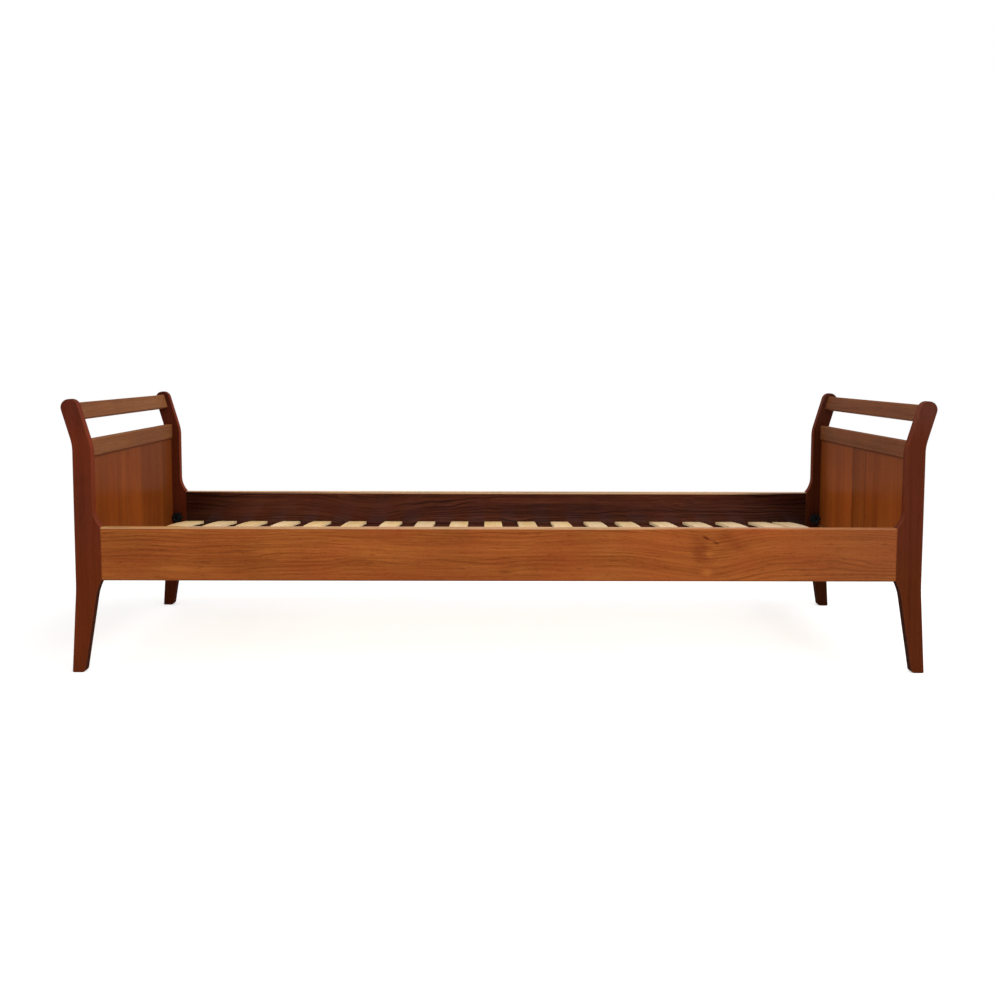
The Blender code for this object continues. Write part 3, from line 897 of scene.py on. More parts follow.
@dataclass(frozen=True)
class VeneerFinish(TeakFinish):
    """Teak veneer in upright leaves: a pale one at the left end, dark streaks beside one at the right end, painted
    shade in the far corner of the right panel and a painted shadow under the middle rail.
    """

    grain: GrainAxis = GrainAxis.HEIGHT
    leaf: float = 0.125
    first_edge: float = -0.045
    right_leaves: float = 40.0
    leaf_jump: float = 7.0
    leaf_seed: float = 0.37
    leaf_tones: Pair = (0.97, 1.03)
    middle_tones: Pair = (0.18, -0.20)
    far_tones: Pair = (-0.14, 0.16)
    right_tone: float = 0.21
    # Painted shade: the right panel darkens towards its far corner, by the back post.
    corner_places: Pair = (0.27, 0.43)
    corner_shade: float = -0.36
    dark: Colour = (78, 32, 10)
    dark_reach: Pair = (0.012, 0.003)
    dark_breaks: Speckle = Speckle((1.0, 160.0, 5.0), 0.35, 0.6, least=0.35)
    dark_share: float = 0.5
    upper: Colour = (112, 60, 38)
    upper_heights: Pair = (0.38, 0.525)
    upper_share: float = 0.35
    # Painted shadow: a dark strip along the panel's top, under the middle rail.
    shade_line_height: float = 0.006
    shade_line_share: float = 0.65

    def leaves(self, graph: Graph, place: Socket) -> tuple[Socket, Socket, Socket]:
        """Tell the leaves apart.

        Args:
            graph: the material's nodes.
            place: the place on the bed.

        Returns:
            The leaf's number across the panel, a number that differs at both ends too, and 1 at the right end.
        """
        parts = graph.split(place)
        order = graph.math("FLOOR", graph.math("DIVIDE", graph.minus(parts["Y"], self.first_edge), self.leaf))
        right = graph.math("GREATER_THAN", parts["X"], 0.0)
        return order, graph.plus(order, graph.times(right, self.right_leaves)), right

    def bent(self, graph: Graph, place: Socket) -> Socket:
        """Cut each leaf from another part of the log.

        Args:
            graph: the material's nodes.
            place: the place on the bed.

        Returns:
            The place as the grain sees it.
        """
        _, number, _ = self.leaves(graph, place)
        jump = graph.times(graph.chance(number), self.leaf_jump)
        return self.oriented(graph, graph.vector("ADD", place, graph.join(jump, jump, jump)))

    def streaks(self, graph: Graph, place: Socket) -> Socket:
        """Draw the broken dark streaks beside the middle leaf.

        Args:
            graph: the material's nodes.
            place: the place on the bed.

        Returns:
            The mask of the streaks, from 0 to 1.
        """
        half = self.leaf / 2
        side = graph.math("ABSOLUTE", graph.minus(graph.split(place)["Y"], self.first_edge + half))
        line = graph.math("ABSOLUTE", graph.minus(side, half))
        return graph.times(graph.ramp(line, *self.dark_reach), self.dark_breaks.mask(graph, place))

    def tinted(self, graph: Graph, place: Socket, colour: Socket) -> Socket:
        """Add the leaves' own tones, painted shade near the far post of the right panel, the dark streaks, a duller
        upper part and a painted shadow under the rail.

        Args:
            graph: the material's nodes.
            place: the place on the bed.
            colour: the colour so far.

        Returns:
            The new colour.
        """
        order, number, right = self.leaves(graph, place)
        parts = graph.split(place)
        tone = graph.ramp(graph.chance(graph.plus(number, self.leaf_seed)), 0.0, 1.0, *self.leaf_tones)
        middle = graph.math("COMPARE", order, 0.0)
        far = graph.math("GREATER_THAN", order, 0.5)
        for mask, tones in ((middle, self.middle_tones), (far, self.far_tones)):
            tone = graph.plus(tone, graph.times(mask, graph.ramp(right, 0.0, 1.0, *tones)))
        # Painted shade towards the far corner of the right panel.
        corner = graph.ramp(parts["Y"], *self.corner_places, self.right_tone, self.corner_shade)
        colour = graph.toned(colour, graph.plus(tone, graph.times(right, corner)))
        colour = graph.stained(colour, graph.times(self.streaks(graph, place), right), self.dark_share, self.dark)
        upper = graph.ramp(parts["Z"], *self.upper_heights)
        colour = graph.stained(colour, upper, self.upper_share, self.upper)
        # Painted shadow of the middle rail on the panel.
        rail = self.upper_heights[1]
        return graph.stained(colour, graph.ramp(parts["Z"], rail - self.shade_line_height, rail), self.shade_line_share,
                             self.dark)


@dataclass(frozen=True)
class SlatArc:
    """The arc of the slats' lower surface across the bed."""

    radius: float = 5.33845
    base: float = 0.2583
    camber: float = 0.019

    @property
    def centre(self) -> float:
        """Return the height of the arc's centre."""
        return self.base + self.camber - self.radius

    def height(self, y: float) -> float:
        """Return the height of the lower surface at a place across the bed."""
        return self.centre + math.sqrt(self.radius ** 2 - y * y)


@dataclass(frozen=True)
class BirchFinish(Finish):
    """Laminated birch of a sprung slat, with layers and painted light on its edges: paler at the bed's left end,
    pinker at its right.
    """

    pale: Colour = (241, 209, 150)
    deep: Colour = (222, 178, 112)
    pink: Colour = (246, 224, 200)
    # Painted light: the near-white colour of the upright edges.
    rim: Colour = (255, 228, 178)
    glue: Colour = (190, 142, 90)
    band_rate: float = 60.0
    wander: float = 0.003
    slat_tones: Speckle = Speckle((7.0, 0.0, 0.0), 0.3, 0.7, 0.0, least=0.88, most=1.04)
    use_size: float = 6.0
    use_share: float = 0.05
    blush: Speckle = Speckle((11.0, 0.8, 0.0), 0.45, 0.65, 0.0)
    blush_shift: Triple = (3.1, 0.0, 0.0)
    blush_share: float = 0.25
    pink_places: Pair = (0.25, 0.60)
    pink_share: float = 0.30
    left_places: Pair = (-0.75, -0.40)
    left_tone: float = 1.14
    right_places: Pair = (-0.05, 0.25)
    right_tone: float = 0.92
    arc: SlatArc = SlatArc()
    layer: float = 0.0016
    line_limits: Pair = (0.34, 0.46)
    upright_limits: Pair = (0.75, 0.45)
    rim_share: float = 0.9
    glue_share: float = 0.4
    pore_share: float = 0.25
    wear_reach: float = 0.002
    wear_share: float = 0.25
    roughness: float = 0.45
    fibre_roughness: float = 0.10
    shine: float = 0.35
    relief: Pair = (0.0001, 0.5)

    def retinted(self, graph: Graph, place: Socket, colour: Socket) -> Socket:
        """Let the slats differ along the bed.

        Args:
            graph: the material's nodes.
            place: the place on the bed.
            colour: the colour so far.

        Returns:
            The new colour.
        """
        along = graph.split(place)["X"]
        blush = self.blush.mask(graph, graph.vector("ADD", place, self.blush_shift))
        colour = graph.stained(colour, blush, self.blush_share, self.pink)
        colour = graph.mix(graph.ramp(along, *self.pink_places, 0.0, self.pink_share), colour, linear(self.pink))
        return graph.toned(colour, graph.times(graph.ramp(along, *self.left_places, self.left_tone, 1.0),
                                               graph.ramp(along, *self.right_places, 1.0, self.right_tone)))

    def layered(self, graph: Graph, place: Socket, colour: Socket) -> Socket:
        """Show the layers on the upright edges, which are painted paler as if lit.

        Args:
            graph: the material's nodes.
            place: the place on the bed.
            colour: the colour so far.

        Returns:
            The new colour.
        """
        parts = graph.split(place)
        rise = graph.minus(parts["Z"], self.arc.centre)
        reach = graph.vector("LENGTH", graph.join(0.0, parts["Y"], rise))
        ply = graph.math("FRACT", graph.math("DIVIDE", graph.minus(reach, self.arc.radius), self.layer))
        line = graph.ramp(graph.math("ABSOLUTE", graph.minus(ply, 0.5)), *self.line_limits)
        level = graph.math("ABSOLUTE", graph.split(graph.facing())["Z"])
        upright = graph.ramp(level, *self.upright_limits)
        # Painted light on the upright edges.
        colour = graph.stained(colour, upright, self.rim_share, self.rim)
        return graph.stained(colour, graph.times(line, upright), self.glue_share, self.glue)

    def surface(self, graph: Graph, effects: Effects) -> dict[str, Value]:
        """Make the slats' surface.

        Args:
            graph: the material's nodes.
            effects: the shared node groups.

        Returns:
            Colour, roughness, shine and normal of the slats.
        """
        place = self.place(graph)
        parts = graph.split(place)
        turned = graph.join(*(parts[axis] for axis in GrainAxis.WIDTH.value))
        figure = effects.figure.place(graph, vector=turned, band_rate=self.band_rate, wander=self.wander)
        use = effects.handling.place(graph, vector=place, size=self.use_size)
        share = graph.plus(graph.times(figure["Bands"], 0.5), graph.times(figure["Streaks"], 0.5))
        colour = graph.mix(share, linear(self.deep), linear(self.pale))
        tone = graph.plus(self.slat_tones.mask(graph, place), graph.times(use["Tone"], self.use_share))
        colour = self.retinted(graph, place, graph.toned(colour, tone))
        colour = self.layered(graph, place, colour)
        colour = graph.stained(colour, figure["Pores"], self.pore_share, self.glue)
        edge = effects.wear.place(graph, vector=place, reach=self.wear_reach)["Edge"]
        colour = graph.stained(colour, edge, self.wear_share, self.pale)
        rough = graph.plus(graph.times(figure["Fibre"], self.fibre_roughness), self.roughness)
        return {"Base Color": colour, "Roughness": rough, "Specular IOR Level": self.shine,
                "Normal": graph.bump(figure["Streaks"], *self.relief)}


@dataclass(frozen=True)
class WebbingFinish(Finish):
    """Woven cotton tape: a twill of small ribs."""

    pale: Colour = (206, 198, 182)
    deep: Colour = (150, 140, 122)
    rib: float = 0.0014
    twill: float = 1.3
    use_size: float = 9.0
    use_tones: Pair = (0.85, 1.05)
    roughness: float = 0.95
    rib_roughness: float = 0.1
    fuzz: float = 0.2
    relief: Pair = (0.0003, 0.8)

    def surface(self, graph: Graph, effects: Effects) -> dict[str, Value]:
        """Make the tape's surface.

        Args:
            graph: the material's nodes.
            effects: the shared node groups.

        Returns:
            Colour, roughness, sheen and normal of the tape.
        """
        place = self.place(graph)
        parts = graph.split(place)
        turn = FULL_TURN / self.rib
        warp = graph.math("SINE", graph.times(parts["Y"], turn))
        slant = graph.plus(graph.times(parts["X"], turn), graph.times(warp, self.twill))
        weave = graph.times(graph.plus(graph.math("SINE", slant), 1.0), 0.5)
        use = effects.handling.place(graph, vector=place, size=self.use_size)
        colour = graph.mix(weave, linear(self.deep), linear(self.pale))
        colour = graph.toned(colour, graph.ramp(use["Tone"], 0.0, 1.0, *self.use_tones))
        rough = graph.minus(self.roughness, graph.times(weave, self.rib_roughness))
        return {"Base Color": colour, "Roughness": rough, "Sheen Weight": self.fuzz,
                "Normal": graph.bump(weave, *self.relief)}


@dataclass(frozen=True)
class PlasticFinish(Finish):
    """Black moulded plastic with a fine texture, rubbed on its edges."""

    base: Colour = (9, 9, 10)
    rubbed_and_highlighted: Colour = (27, 27, 29)
    use_size: float = 60.0
    wear_reach: float = 0.0015
    wear_share: float = 0.5
    scuff_share: float = 0.4
    roughness: Pair = (0.32, 0.48)
    shine: float = 0.08
    texture_rate: Triple = (2600.0, 2600.0, 2600.0)
    relief: Pair = (0.00006, 0.5)

    def surface(self, graph: Graph, effects: Effects) -> dict[str, Value]:
        """Make the plastic's surface.

        Args:
            graph: the material's nodes.
            effects: the shared node groups.

        Returns:
            Colour, roughness, shine and normal of the plastic.
        """
        place = self.place(graph)
        use = effects.handling.place(graph, vector=place, size=self.use_size)
        edge = effects.wear.place(graph, vector=place, reach=self.wear_reach)["Edge"]
        colour = graph.stained(linear(self.base), edge, self.wear_share, self.rubbed_and_highlighted)
        colour = graph.stained(colour, use["Scuffs"], self.scuff_share, self.rubbed_and_highlighted)
        rough = graph.ramp(use["Tone"], 0.0, 1.0, *self.roughness)
        texture = graph.noise(place, self.texture_rate, 1.0)
        return {"Base Color": colour, "Roughness": rough, "Specular IOR Level": self.shine,
                "Normal": graph.bump(texture, *self.relief)}


@dataclass(frozen=True)
class MetalFinish(Finish):
    """Plated or turned metal, with dull spots and fine turning marks."""

    bright: Colour
    dull: Colour
    roughness: float
    use_size: float = 140.0
    dull_roughness: float = 0.1
    use_roughness: float = 0.15
    mark_rate: Triple = (900.0, 5200.0, 900.0)
    relief: Pair = (0.00003, 0.5)

    def surface(self, graph: Graph, effects: Effects) -> dict[str, Value]:
        """Make the metal's surface.

        Args:
            graph: the material's nodes.
            effects: the shared node groups.

        Returns:
            Colour, roughness, metal and normal of the surface.
        """
        place = self.place(graph)
        use = effects.handling.place(graph, vector=place, size=self.use_size)
        colour = graph.mix(use["Tone"], linear(self.dull), linear(self.bright))
        rough = graph.minus(self.roughness + self.dull_roughness, graph.times(use["Tone"], self.use_roughness))
        marks = graph.noise(place, self.mark_rate, 1.0)
        return {"Base Color": colour, "Roughness": rough, "Metallic": 1.0,
                "Normal": graph.bump(marks, *self.relief)}


class SoftShading:
    """A modifier tree that joins doubled points and shades all edges smooth but the sharp ones."""

    merge_distance: ClassVar[float] = 0.00001
    face_weight: ClassVar[int] = 80

    def __init__(self, sharp: float) -> None:
        """Build the tree.

        Args:
            sharp: the angle from which an edge stays sharp.
        """
        self.tree = bpy.data.node_groups.new("soft_shading", "GeometryNodeTree")
        self.tree.is_modifier = True
        for way in ("INPUT", "OUTPUT"):
            self.tree.interface.new_socket("Geometry", in_out=way, socket_type="NodeSocketGeometry")
        graph = Graph(self.tree)
        merge = graph.add("GeometryNodeMergeByDistance")
        graph.put(merge.inputs["Geometry"], graph.add("NodeGroupInput").outputs[0])
        graph.put(merge.inputs["Distance"], self.merge_distance)
        faces = graph.add("GeometryNodeSetShadeSmooth", domain="FACE")
        graph.put(faces.inputs["Geometry"], merge.outputs[0])
        graph.put(faces.inputs["Shade Smooth"], True)
        angle = graph.add("GeometryNodeInputMeshEdgeAngle").outputs["Unsigned Angle"]
        edges = graph.add("GeometryNodeSetShadeSmooth", domain="EDGE")
        graph.put(edges.inputs["Geometry"], faces.outputs[0])
        graph.put(edges.inputs["Shade Smooth"], graph.math("LESS_THAN", angle, sharp))
        graph.put(graph.add("NodeGroupOutput").inputs[0], edges.outputs[0])

    def apply(self, thing: bpy.types.Object) -> None:
        """Add the soft shading to an object, flat faces first.

        Args:
            thing: the object.
        """
        thing.modifiers.new("soft shading", "NODES").node_group = self.tree
        weighted = thing.modifiers.new("flat faces", "WEIGHTED_NORMAL")
        weighted.keep_sharp = True
        weighted.weight = self.face_weight


def new_piece(name: str, cage: bmesh.types.BMesh, place: Matrix, smooth: bool = True) -> bpy.types.Object:
    """Make an object from a mesh under work.

    Args:
        name: the piece's name.
        cage: its mesh, which is used up.
        place: where the piece stands in the row frame.
        smooth: whether its faces are shaded smooth.

    Returns:
        The new object.
    """
    bmesh.ops.remove_doubles(cage, verts=cage.verts, dist=SAME_POINT)
    bmesh.ops.recalc_face_normals(cage, faces=cage.faces)
    for face in cage.faces:
        face.smooth = smooth
    mesh = bpy.data.meshes.new(name)
    cage.to_mesh(mesh)
    cage.free()
    thing = bpy.data.objects.new(name, mesh)
    bpy.context.scene.collection.objects.link(thing)
    thing.matrix_world = place
    return thing


def skin(cage: bmesh.types.BMesh, first: Points, second: Points) -> None:
    """Close the band between two rounds of points.

    Args:
        cage: the mesh under work.
        first: the points of one round.
        second: as many points of the other.
    """
    for i in range(len(first)):
        after = (i + 1) % len(first)
        cage.faces.new((first[i], first[after], second[after], second[i]))


def tube(cage: bmesh.types.BMesh, rows: Sequence[Points]) -> None:
    """Skin a row of rounds and close both its ends.

    Args:
        cage: the mesh under work.
        rows: the rounds, each of as many points.
    """
    for first, second in zip(rows, rows[1:]):
        skin(cage, first, second)
    cage.faces.new(rows[0])
    cage.faces.new(rows[-1])


def ring_stack(rings: Sequence[Pair], steps: int, reach: Callable[[int, float], float]) -> bmesh.types.BMesh:
    """Skin a stack of rings, from one pole to the other.

    Args:
        rings: radius and height of each ring; the first and the last are poles of no radius.
        steps: points round each ring.
        reach: gives a ring's radius at an angle from the ring's number and the angle.

    Returns:
        The closed mesh.
    """
    cage = bmesh.new()
    rows = []
    for index, (radius, height) in enumerate(rings):
        if radius <= 0:
            rows.append([cage.verts.new((0, 0, height))])
            continue
        row = []
        for angle in (FULL_TURN * step / steps for step in range(steps)):
            out = reach(index, angle)
            row.append(cage.verts.new((out * math.cos(angle), out * math.sin(angle), height)))
        rows.append(row)
    for low, high in zip(rows, rows[1:]):
        for step in range(steps):
            after = (step + 1) % steps
            corners = [low[step % len(low)], low[after % len(low)], high[after % len(high)], high[step % len(high)]]
            cage.faces.new(list(dict.fromkeys(corners)))
    return cage


@dataclass
class Assembly:
    """A sub-assembly of the bed, which keeps its finished pieces."""

    effects: Effects
    shading: SoftShading
    pieces: list[bpy.types.Object] = field(default_factory=list)

    def build(self) -> None:
        """Make the meshes that the solids don't give."""

    def dress(self) -> None:
        """Give the solids and the pieces their finish."""

    def paint(self, names: Iterable[str], finish: Finish) -> None:
        """Give solids a finish and soft shading.

        Args:
            names: the solids' node names.
            finish: the finish that they share.
        """
        material = finish.build(self.effects)
        for name in names:
            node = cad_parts[name]
            node.data.materials.clear()
            node.data.materials.append(material)
            self.shading.apply(node)
            LOG.info("%s: %s", name, finish.name)

    def keep(self, piece: bpy.types.Object, body: str, slot: str, replaced: Sequence[str] = ()) -> None:
        """Let a piece ride on a body.

        Args:
            piece: the finished piece.
            body: the body that it rides on.
            slot: the slot of its material; not used.
            replaced: the solids that it stands for.
        """
        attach(piece, body)
        if replaced:
            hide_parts(*replaced)
        self.pieces.append(piece)
        LOG.info("%s rides on %s", piece.name, body)


@dataclass
class BedEnds(Assembly):
    """The two ends: posts, rails and panels."""

    end_rails: tuple[str, ...] = ("top", "middle", "bottom")

    def dress(self) -> None:
        """Finish the posts, the rails across the ends and the panels."""
        posts = {
            End.LEFT: PostFinish(
                "dark oiled teak of the left posts", deep=(86, 36, 19), pale=(115, 51, 30), red=(107, 40, 23),
                worn=(136, 76, 48), band_rate=30.0, inside=(0.56, 0.53, 0.52), head=(0.79, 0.83, 1.12),
                leg_shade=0.76),
            End.RIGHT: PostFinish(
                "dark oiled teak of the right posts", deep=(72, 30, 16), pale=(99, 46, 27), red=(91, 34, 20),
                worn=(126, 70, 46), band_rate=33.0, inside=(0.62, 0.63, 0.56), head=(1.13, 1.48, 2.1),
                leg_shade=0.55),
        }
        for end, finish in posts.items():
            self.paint([f"{end.word}_{side.word}_post" for side in Side], finish)
        rails = {
            End.LEFT: TeakFinish(
                "oiled teak of the left end rails", deep=(108, 64, 37), pale=(150, 98, 61), red=(130, 70, 41),
                worn=(156, 104, 68), grain=GrainAxis.WIDTH, band_rate=44.0, wander=0.003, streak_share=0.4,
                contrast=0.9),
            End.RIGHT: TeakFinish(
                "oiled teak of the right end rails", deep=(98, 56, 33), pale=(140, 88, 55), red=(121, 63, 38),
                worn=(146, 95, 62), grain=GrainAxis.WIDTH, band_rate=47.0, wander=0.003, streak_share=0.4,
                contrast=0.9),
        }
        for end, finish in rails.items():
            self.paint([f"{end.word}_{rail}_rail" for rail in self.end_rails], finish)
        self.paint([f"{end.word}_end_panel" for end in End], VeneerFinish(
            "teak veneer in leaves", deep=(107, 51, 16), pale=(156, 83, 33), red=(128, 54, 20), worn=(150, 84, 48),
            band_rate=11.0, wander=0.002, streak_share=0.25, contrast=0.75))


@dataclass
class SideRails(Assembly):
    """The side rails and the ledgers on them, with their screws."""

    screws: int = 5
    screw_turn: float = 0.7
    head_radius: float = 0.0042
    head_depth: float = 0.0022
    head_dome: float = 0.0001
    head_rim: float = 0.0004
    shank_radius: float = 0.002
    shank_length: float = 0.034
    point_radius: float = 0.0004
    length: float = 0.0375
    recess_reach: float = 0.0026
    recess_width: float = 0.00055
    recess_depth: float = 0.0016
    recess_taper: float = 0.55
    steps: int = 32

    def ring(self, cage: bmesh.types.BMesh, radius: float, height: float) -> Points:
        """Return the new points of a ring of the screw."""
        angles = (FULL_TURN * i / self.steps for i in range(self.steps))
        return [cage.verts.new((radius * math.cos(a), radius * math.sin(a), height)) for a in angles]

    def screw_mesh(self) -> bmesh.types.BMesh:
        """Make a countersunk screw with a cross recess.

        Returns:
            Its mesh, with the head's top at height nought.
        """
        cage = bmesh.new()
        reach, half, taper = self.recess_reach, self.recess_width, self.recess_taper
        cross = [(reach, -half), (reach, half), (half, half), (half, reach), (-half, reach), (-half, half),
                 (-reach, half), (-reach, -half), (-half, -half), (-half, -reach), (half, -reach), (half, -half)]
        top = [cage.verts.new((x, y, 0)) for x, y in cross]
        low = [cage.verts.new((x * taper, y * taper, -self.recess_depth)) for x, y in cross]
        last = self.ring(cage, self.head_radius, -self.head_dome)
        skin(cage, top, low)
        cage.faces.new(low)
        loop = [cage.edges.get(pair) for pair in zip(top, top[1:] + top[:1])]
        rim = [cage.edges.new(pair) for pair in zip(last, last[1:] + last[:1])]
        bmesh.ops.bridge_loops(cage, edges=loop + rim)
        for radius, depth in ((self.head_radius, self.head_rim), (self.shank_radius, self.head_depth),
                              (self.shank_radius, self.shank_length), (self.point_radius, self.length)):
            row = self.ring(cage, radius, -depth)
            skin(cage, last, row)
            last = row
        cage.faces.new(last)
        return cage

    def build(self) -> None:
        """Make the ledger screws with their cross recesses."""
        material = MetalFinish("zinc of the ledger screws", (186, 186, 182), (128, 126, 120), 0.34).build(self.effects)
        for side in Side:
            turn = Matrix.Rotation(side.value * math.pi / 2, 4, "X")
            for number in range(1, self.screws + 1):
                node = f"{side.word}_ledger_screw_{number}"
                low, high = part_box(node)
                face = high.y if side is Side.FRONT else low.y
                spot = Vector(((low.x + high.x) / 2, face, (low.z + high.z) / 2))
                place = Matrix.Translation(spot) @ turn @ Matrix.Rotation(self.screw_turn * number, 4, "Z")
                screw = new_piece(f"{node}_cross_head", self.screw_mesh(), place, smooth=False)
                self.shading.apply(screw)
                screw.data.materials.append(material)
                self.keep(screw, BODY, "zinc_plate", [node])

    def dress(self) -> None:
        """Finish the rails and the ledgers."""
        rails = {
            Side.FRONT: KnottyRailFinish(
                "oiled teak of the front rail", deep=(127, 63, 22), pale=(176, 101, 46), red=(150, 68, 31),
                worn=(186, 116, 66), band_rate=40.0, wander=0.005, contrast=0.95, length=1.9, ring_share=0.28,
                inside=(0.23, 0.18, 0.28), highlight_shares=(0.65, 0.30)),
            Side.BACK: KnottyRailFinish(
                "oiled teak of the back rail", deep=(98, 46, 16), pale=(186, 106, 50), red=(146, 62, 27),
                worn=(182, 114, 66), band_rate=36.0, wander=0.006, contrast=1.6, length=1.5, ring_share=0.35,
                inside=(0.232, 0.215, 0.45), knot=(-0.38, 0.252), rounding=0.0060, polish=0.70,
                retinted=(2.9, 5.7, 7.6), lip_highlight=(206, 154, 110), lip_highlight_heights=(0.3513, 0.3537), lip_highlight_left=(-0.95, -0.15),
                lip_highlight_right=(0.92, 0.68)),
        }
        for side, finish in rails.items():
            self.paint([f"{side.word}_side_rail"], finish)
        self.paint([f"{side.word}_slat_ledger" for side in Side], TeakFinish(
            "stained hardwood of the ledgers", deep=(56, 27, 17), pale=(82, 42, 28), red=(70, 32, 20),
            worn=(108, 62, 42), grain=GrainAxis.LENGTH, band_rate=50.0, wander=0.004, roughness=0.6))


@dataclass
class SlatBase(Assembly):
    """The sprung slats and the woven tapes stapled under them."""

    count: int = 19
    arc: SlatArc = SlatArc()
    width: float = 0.025
    thickness: float = 0.0012
    selvedge: float = 0.6
    gap: float = 0.00035
    offset: float = 0.250
    sag: float = 0.0022
    sag_steps: int = 6
    across: int = 6
    staple_inset: float = 0.014
    staple_half: float = 0.0050
    staple_leg: float = 0.0012
    staple_wire: float = 0.0005
    staple_bend: float = 0.7

    def spans(self) -> list[Pair]:
        """Return each slat's edges along the bed."""
        boxes = [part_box(f"slat_{i:02d}") for i in range(1, self.count + 1)]
        return [(low.x, high.x) for low, high in boxes]

    def droop(self, x: float, spans: Sequence[Pair]) -> float:
        """Let the tape hang between the slats.

        Args:
            x: a place along the bed.
            spans: the slats' edges.

        Returns:
            How far the tape hangs below the slats there.
        """
        for (_, left), (right, _) in zip(spans, spans[1:]):
            if left < x < right:
                return self.sag * math.sin(math.pi * (x - left) / (right - left)) ** 2
        return 0.0

    def tape(self, side: Side) -> bpy.types.Object:
        """Make one tape, which follows the slats and hangs a little between them.

        Args:
            side: the side of the bed that it lies on.

        Returns:
            The tape.
        """
        spans = self.spans()
        under = {x for low, high in spans for x in (low, (low + high) / 2, high)}
        between = {left + (right - left) * i / self.sag_steps
                   for (_, left), (right, _) in zip(spans, spans[1:]) for i in range(1, self.sag_steps)}
        cage = bmesh.new()
        rows = []
        for x in sorted(under | between):
            drop = self.droop(x, spans)
            upper, lower = [], []
            for i in range(self.across + 1):
                share = 2 * i / self.across - 1
                y = side.value * self.offset + share * self.width / 2
                z = self.arc.height(y) - self.gap - drop
                thin = self.thickness * (1.0 if 0 < i < self.across else self.selvedge)
                upper.append(cage.verts.new((x, y, z)))
                lower.append(cage.verts.new((x, y, z - thin)))
            rows.append(upper + lower[::-1])
        tube(cage, rows)
        return new_piece(f"{side.word}_woven_tape", cage, Matrix.Identity(4))

    def staple(self, cage: bmesh.types.BMesh, spot: Triple) -> None:
        """Add a staple: a wire that runs down a leg, along its back and up the other leg.

        Args:
            cage: the mesh under work.
            spot: the place of its middle on the tape.
        """
        x, y, z = spot
        wire, half = self.staple_wire, self.staple_half
        path = ((-half, self.staple_leg), (-half, -wire), (half, -wire), (half, self.staple_leg))
        rows = []
        for reach, height in path:
            bend = height < 0
            tall = wire if bend else 0.0
            thick = wire * (self.staple_bend if bend else 1.0) * (1 if reach < 0 else -1)
            section = ((-wire, -thick, -tall), (wire, -thick, -tall), (wire, thick, tall), (-wire, thick, tall))
            rows.append([cage.verts.new((x + dx, y + reach + dy, z + height + dz)) for dx, dy, dz in section])
        tube(cage, rows)

    def staples(self, side: Side) -> bpy.types.Object:
        """Make the staples of one tape, two under each slat.

        Args:
            side: the side of the bed that the tape lies on.

        Returns:
            The staples in one piece.
        """
        cage = bmesh.new()
        y = side.value * self.offset
        level = self.arc.height(y) - self.gap - self.thickness
        for low, high in self.spans():
            for x in (low + self.staple_inset, high - self.staple_inset):
                self.staple(cage, (x, y, level))
        return new_piece(f"{side.word}_tape_staples", cage, Matrix.Identity(4), smooth=False)

    def build(self) -> None:
        """Make the tapes and their staples."""
        webbing = WebbingFinish("woven cotton tape").build(self.effects)
        steel = MetalFinish("steel of the staples", (176, 176, 174), (120, 118, 114), 0.36).build(self.effects)
        for side in Side:
            tape = self.tape(side)
            tape.data.materials.append(webbing)
            self.shading.apply(tape)
            self.keep(tape, BODY, "slat_webbing", [f"{side.word}_slat_tape"])
            staples = self.staples(side)
            staples.data.materials.append(steel)
            self.keep(staples, BODY, "zinc_plate")

    def dress(self) -> None:
        """Finish the slats."""
        self.paint([f"slat_{i:02d}" for i in range(1, self.count + 1)], BirchFinish("laminated birch"))


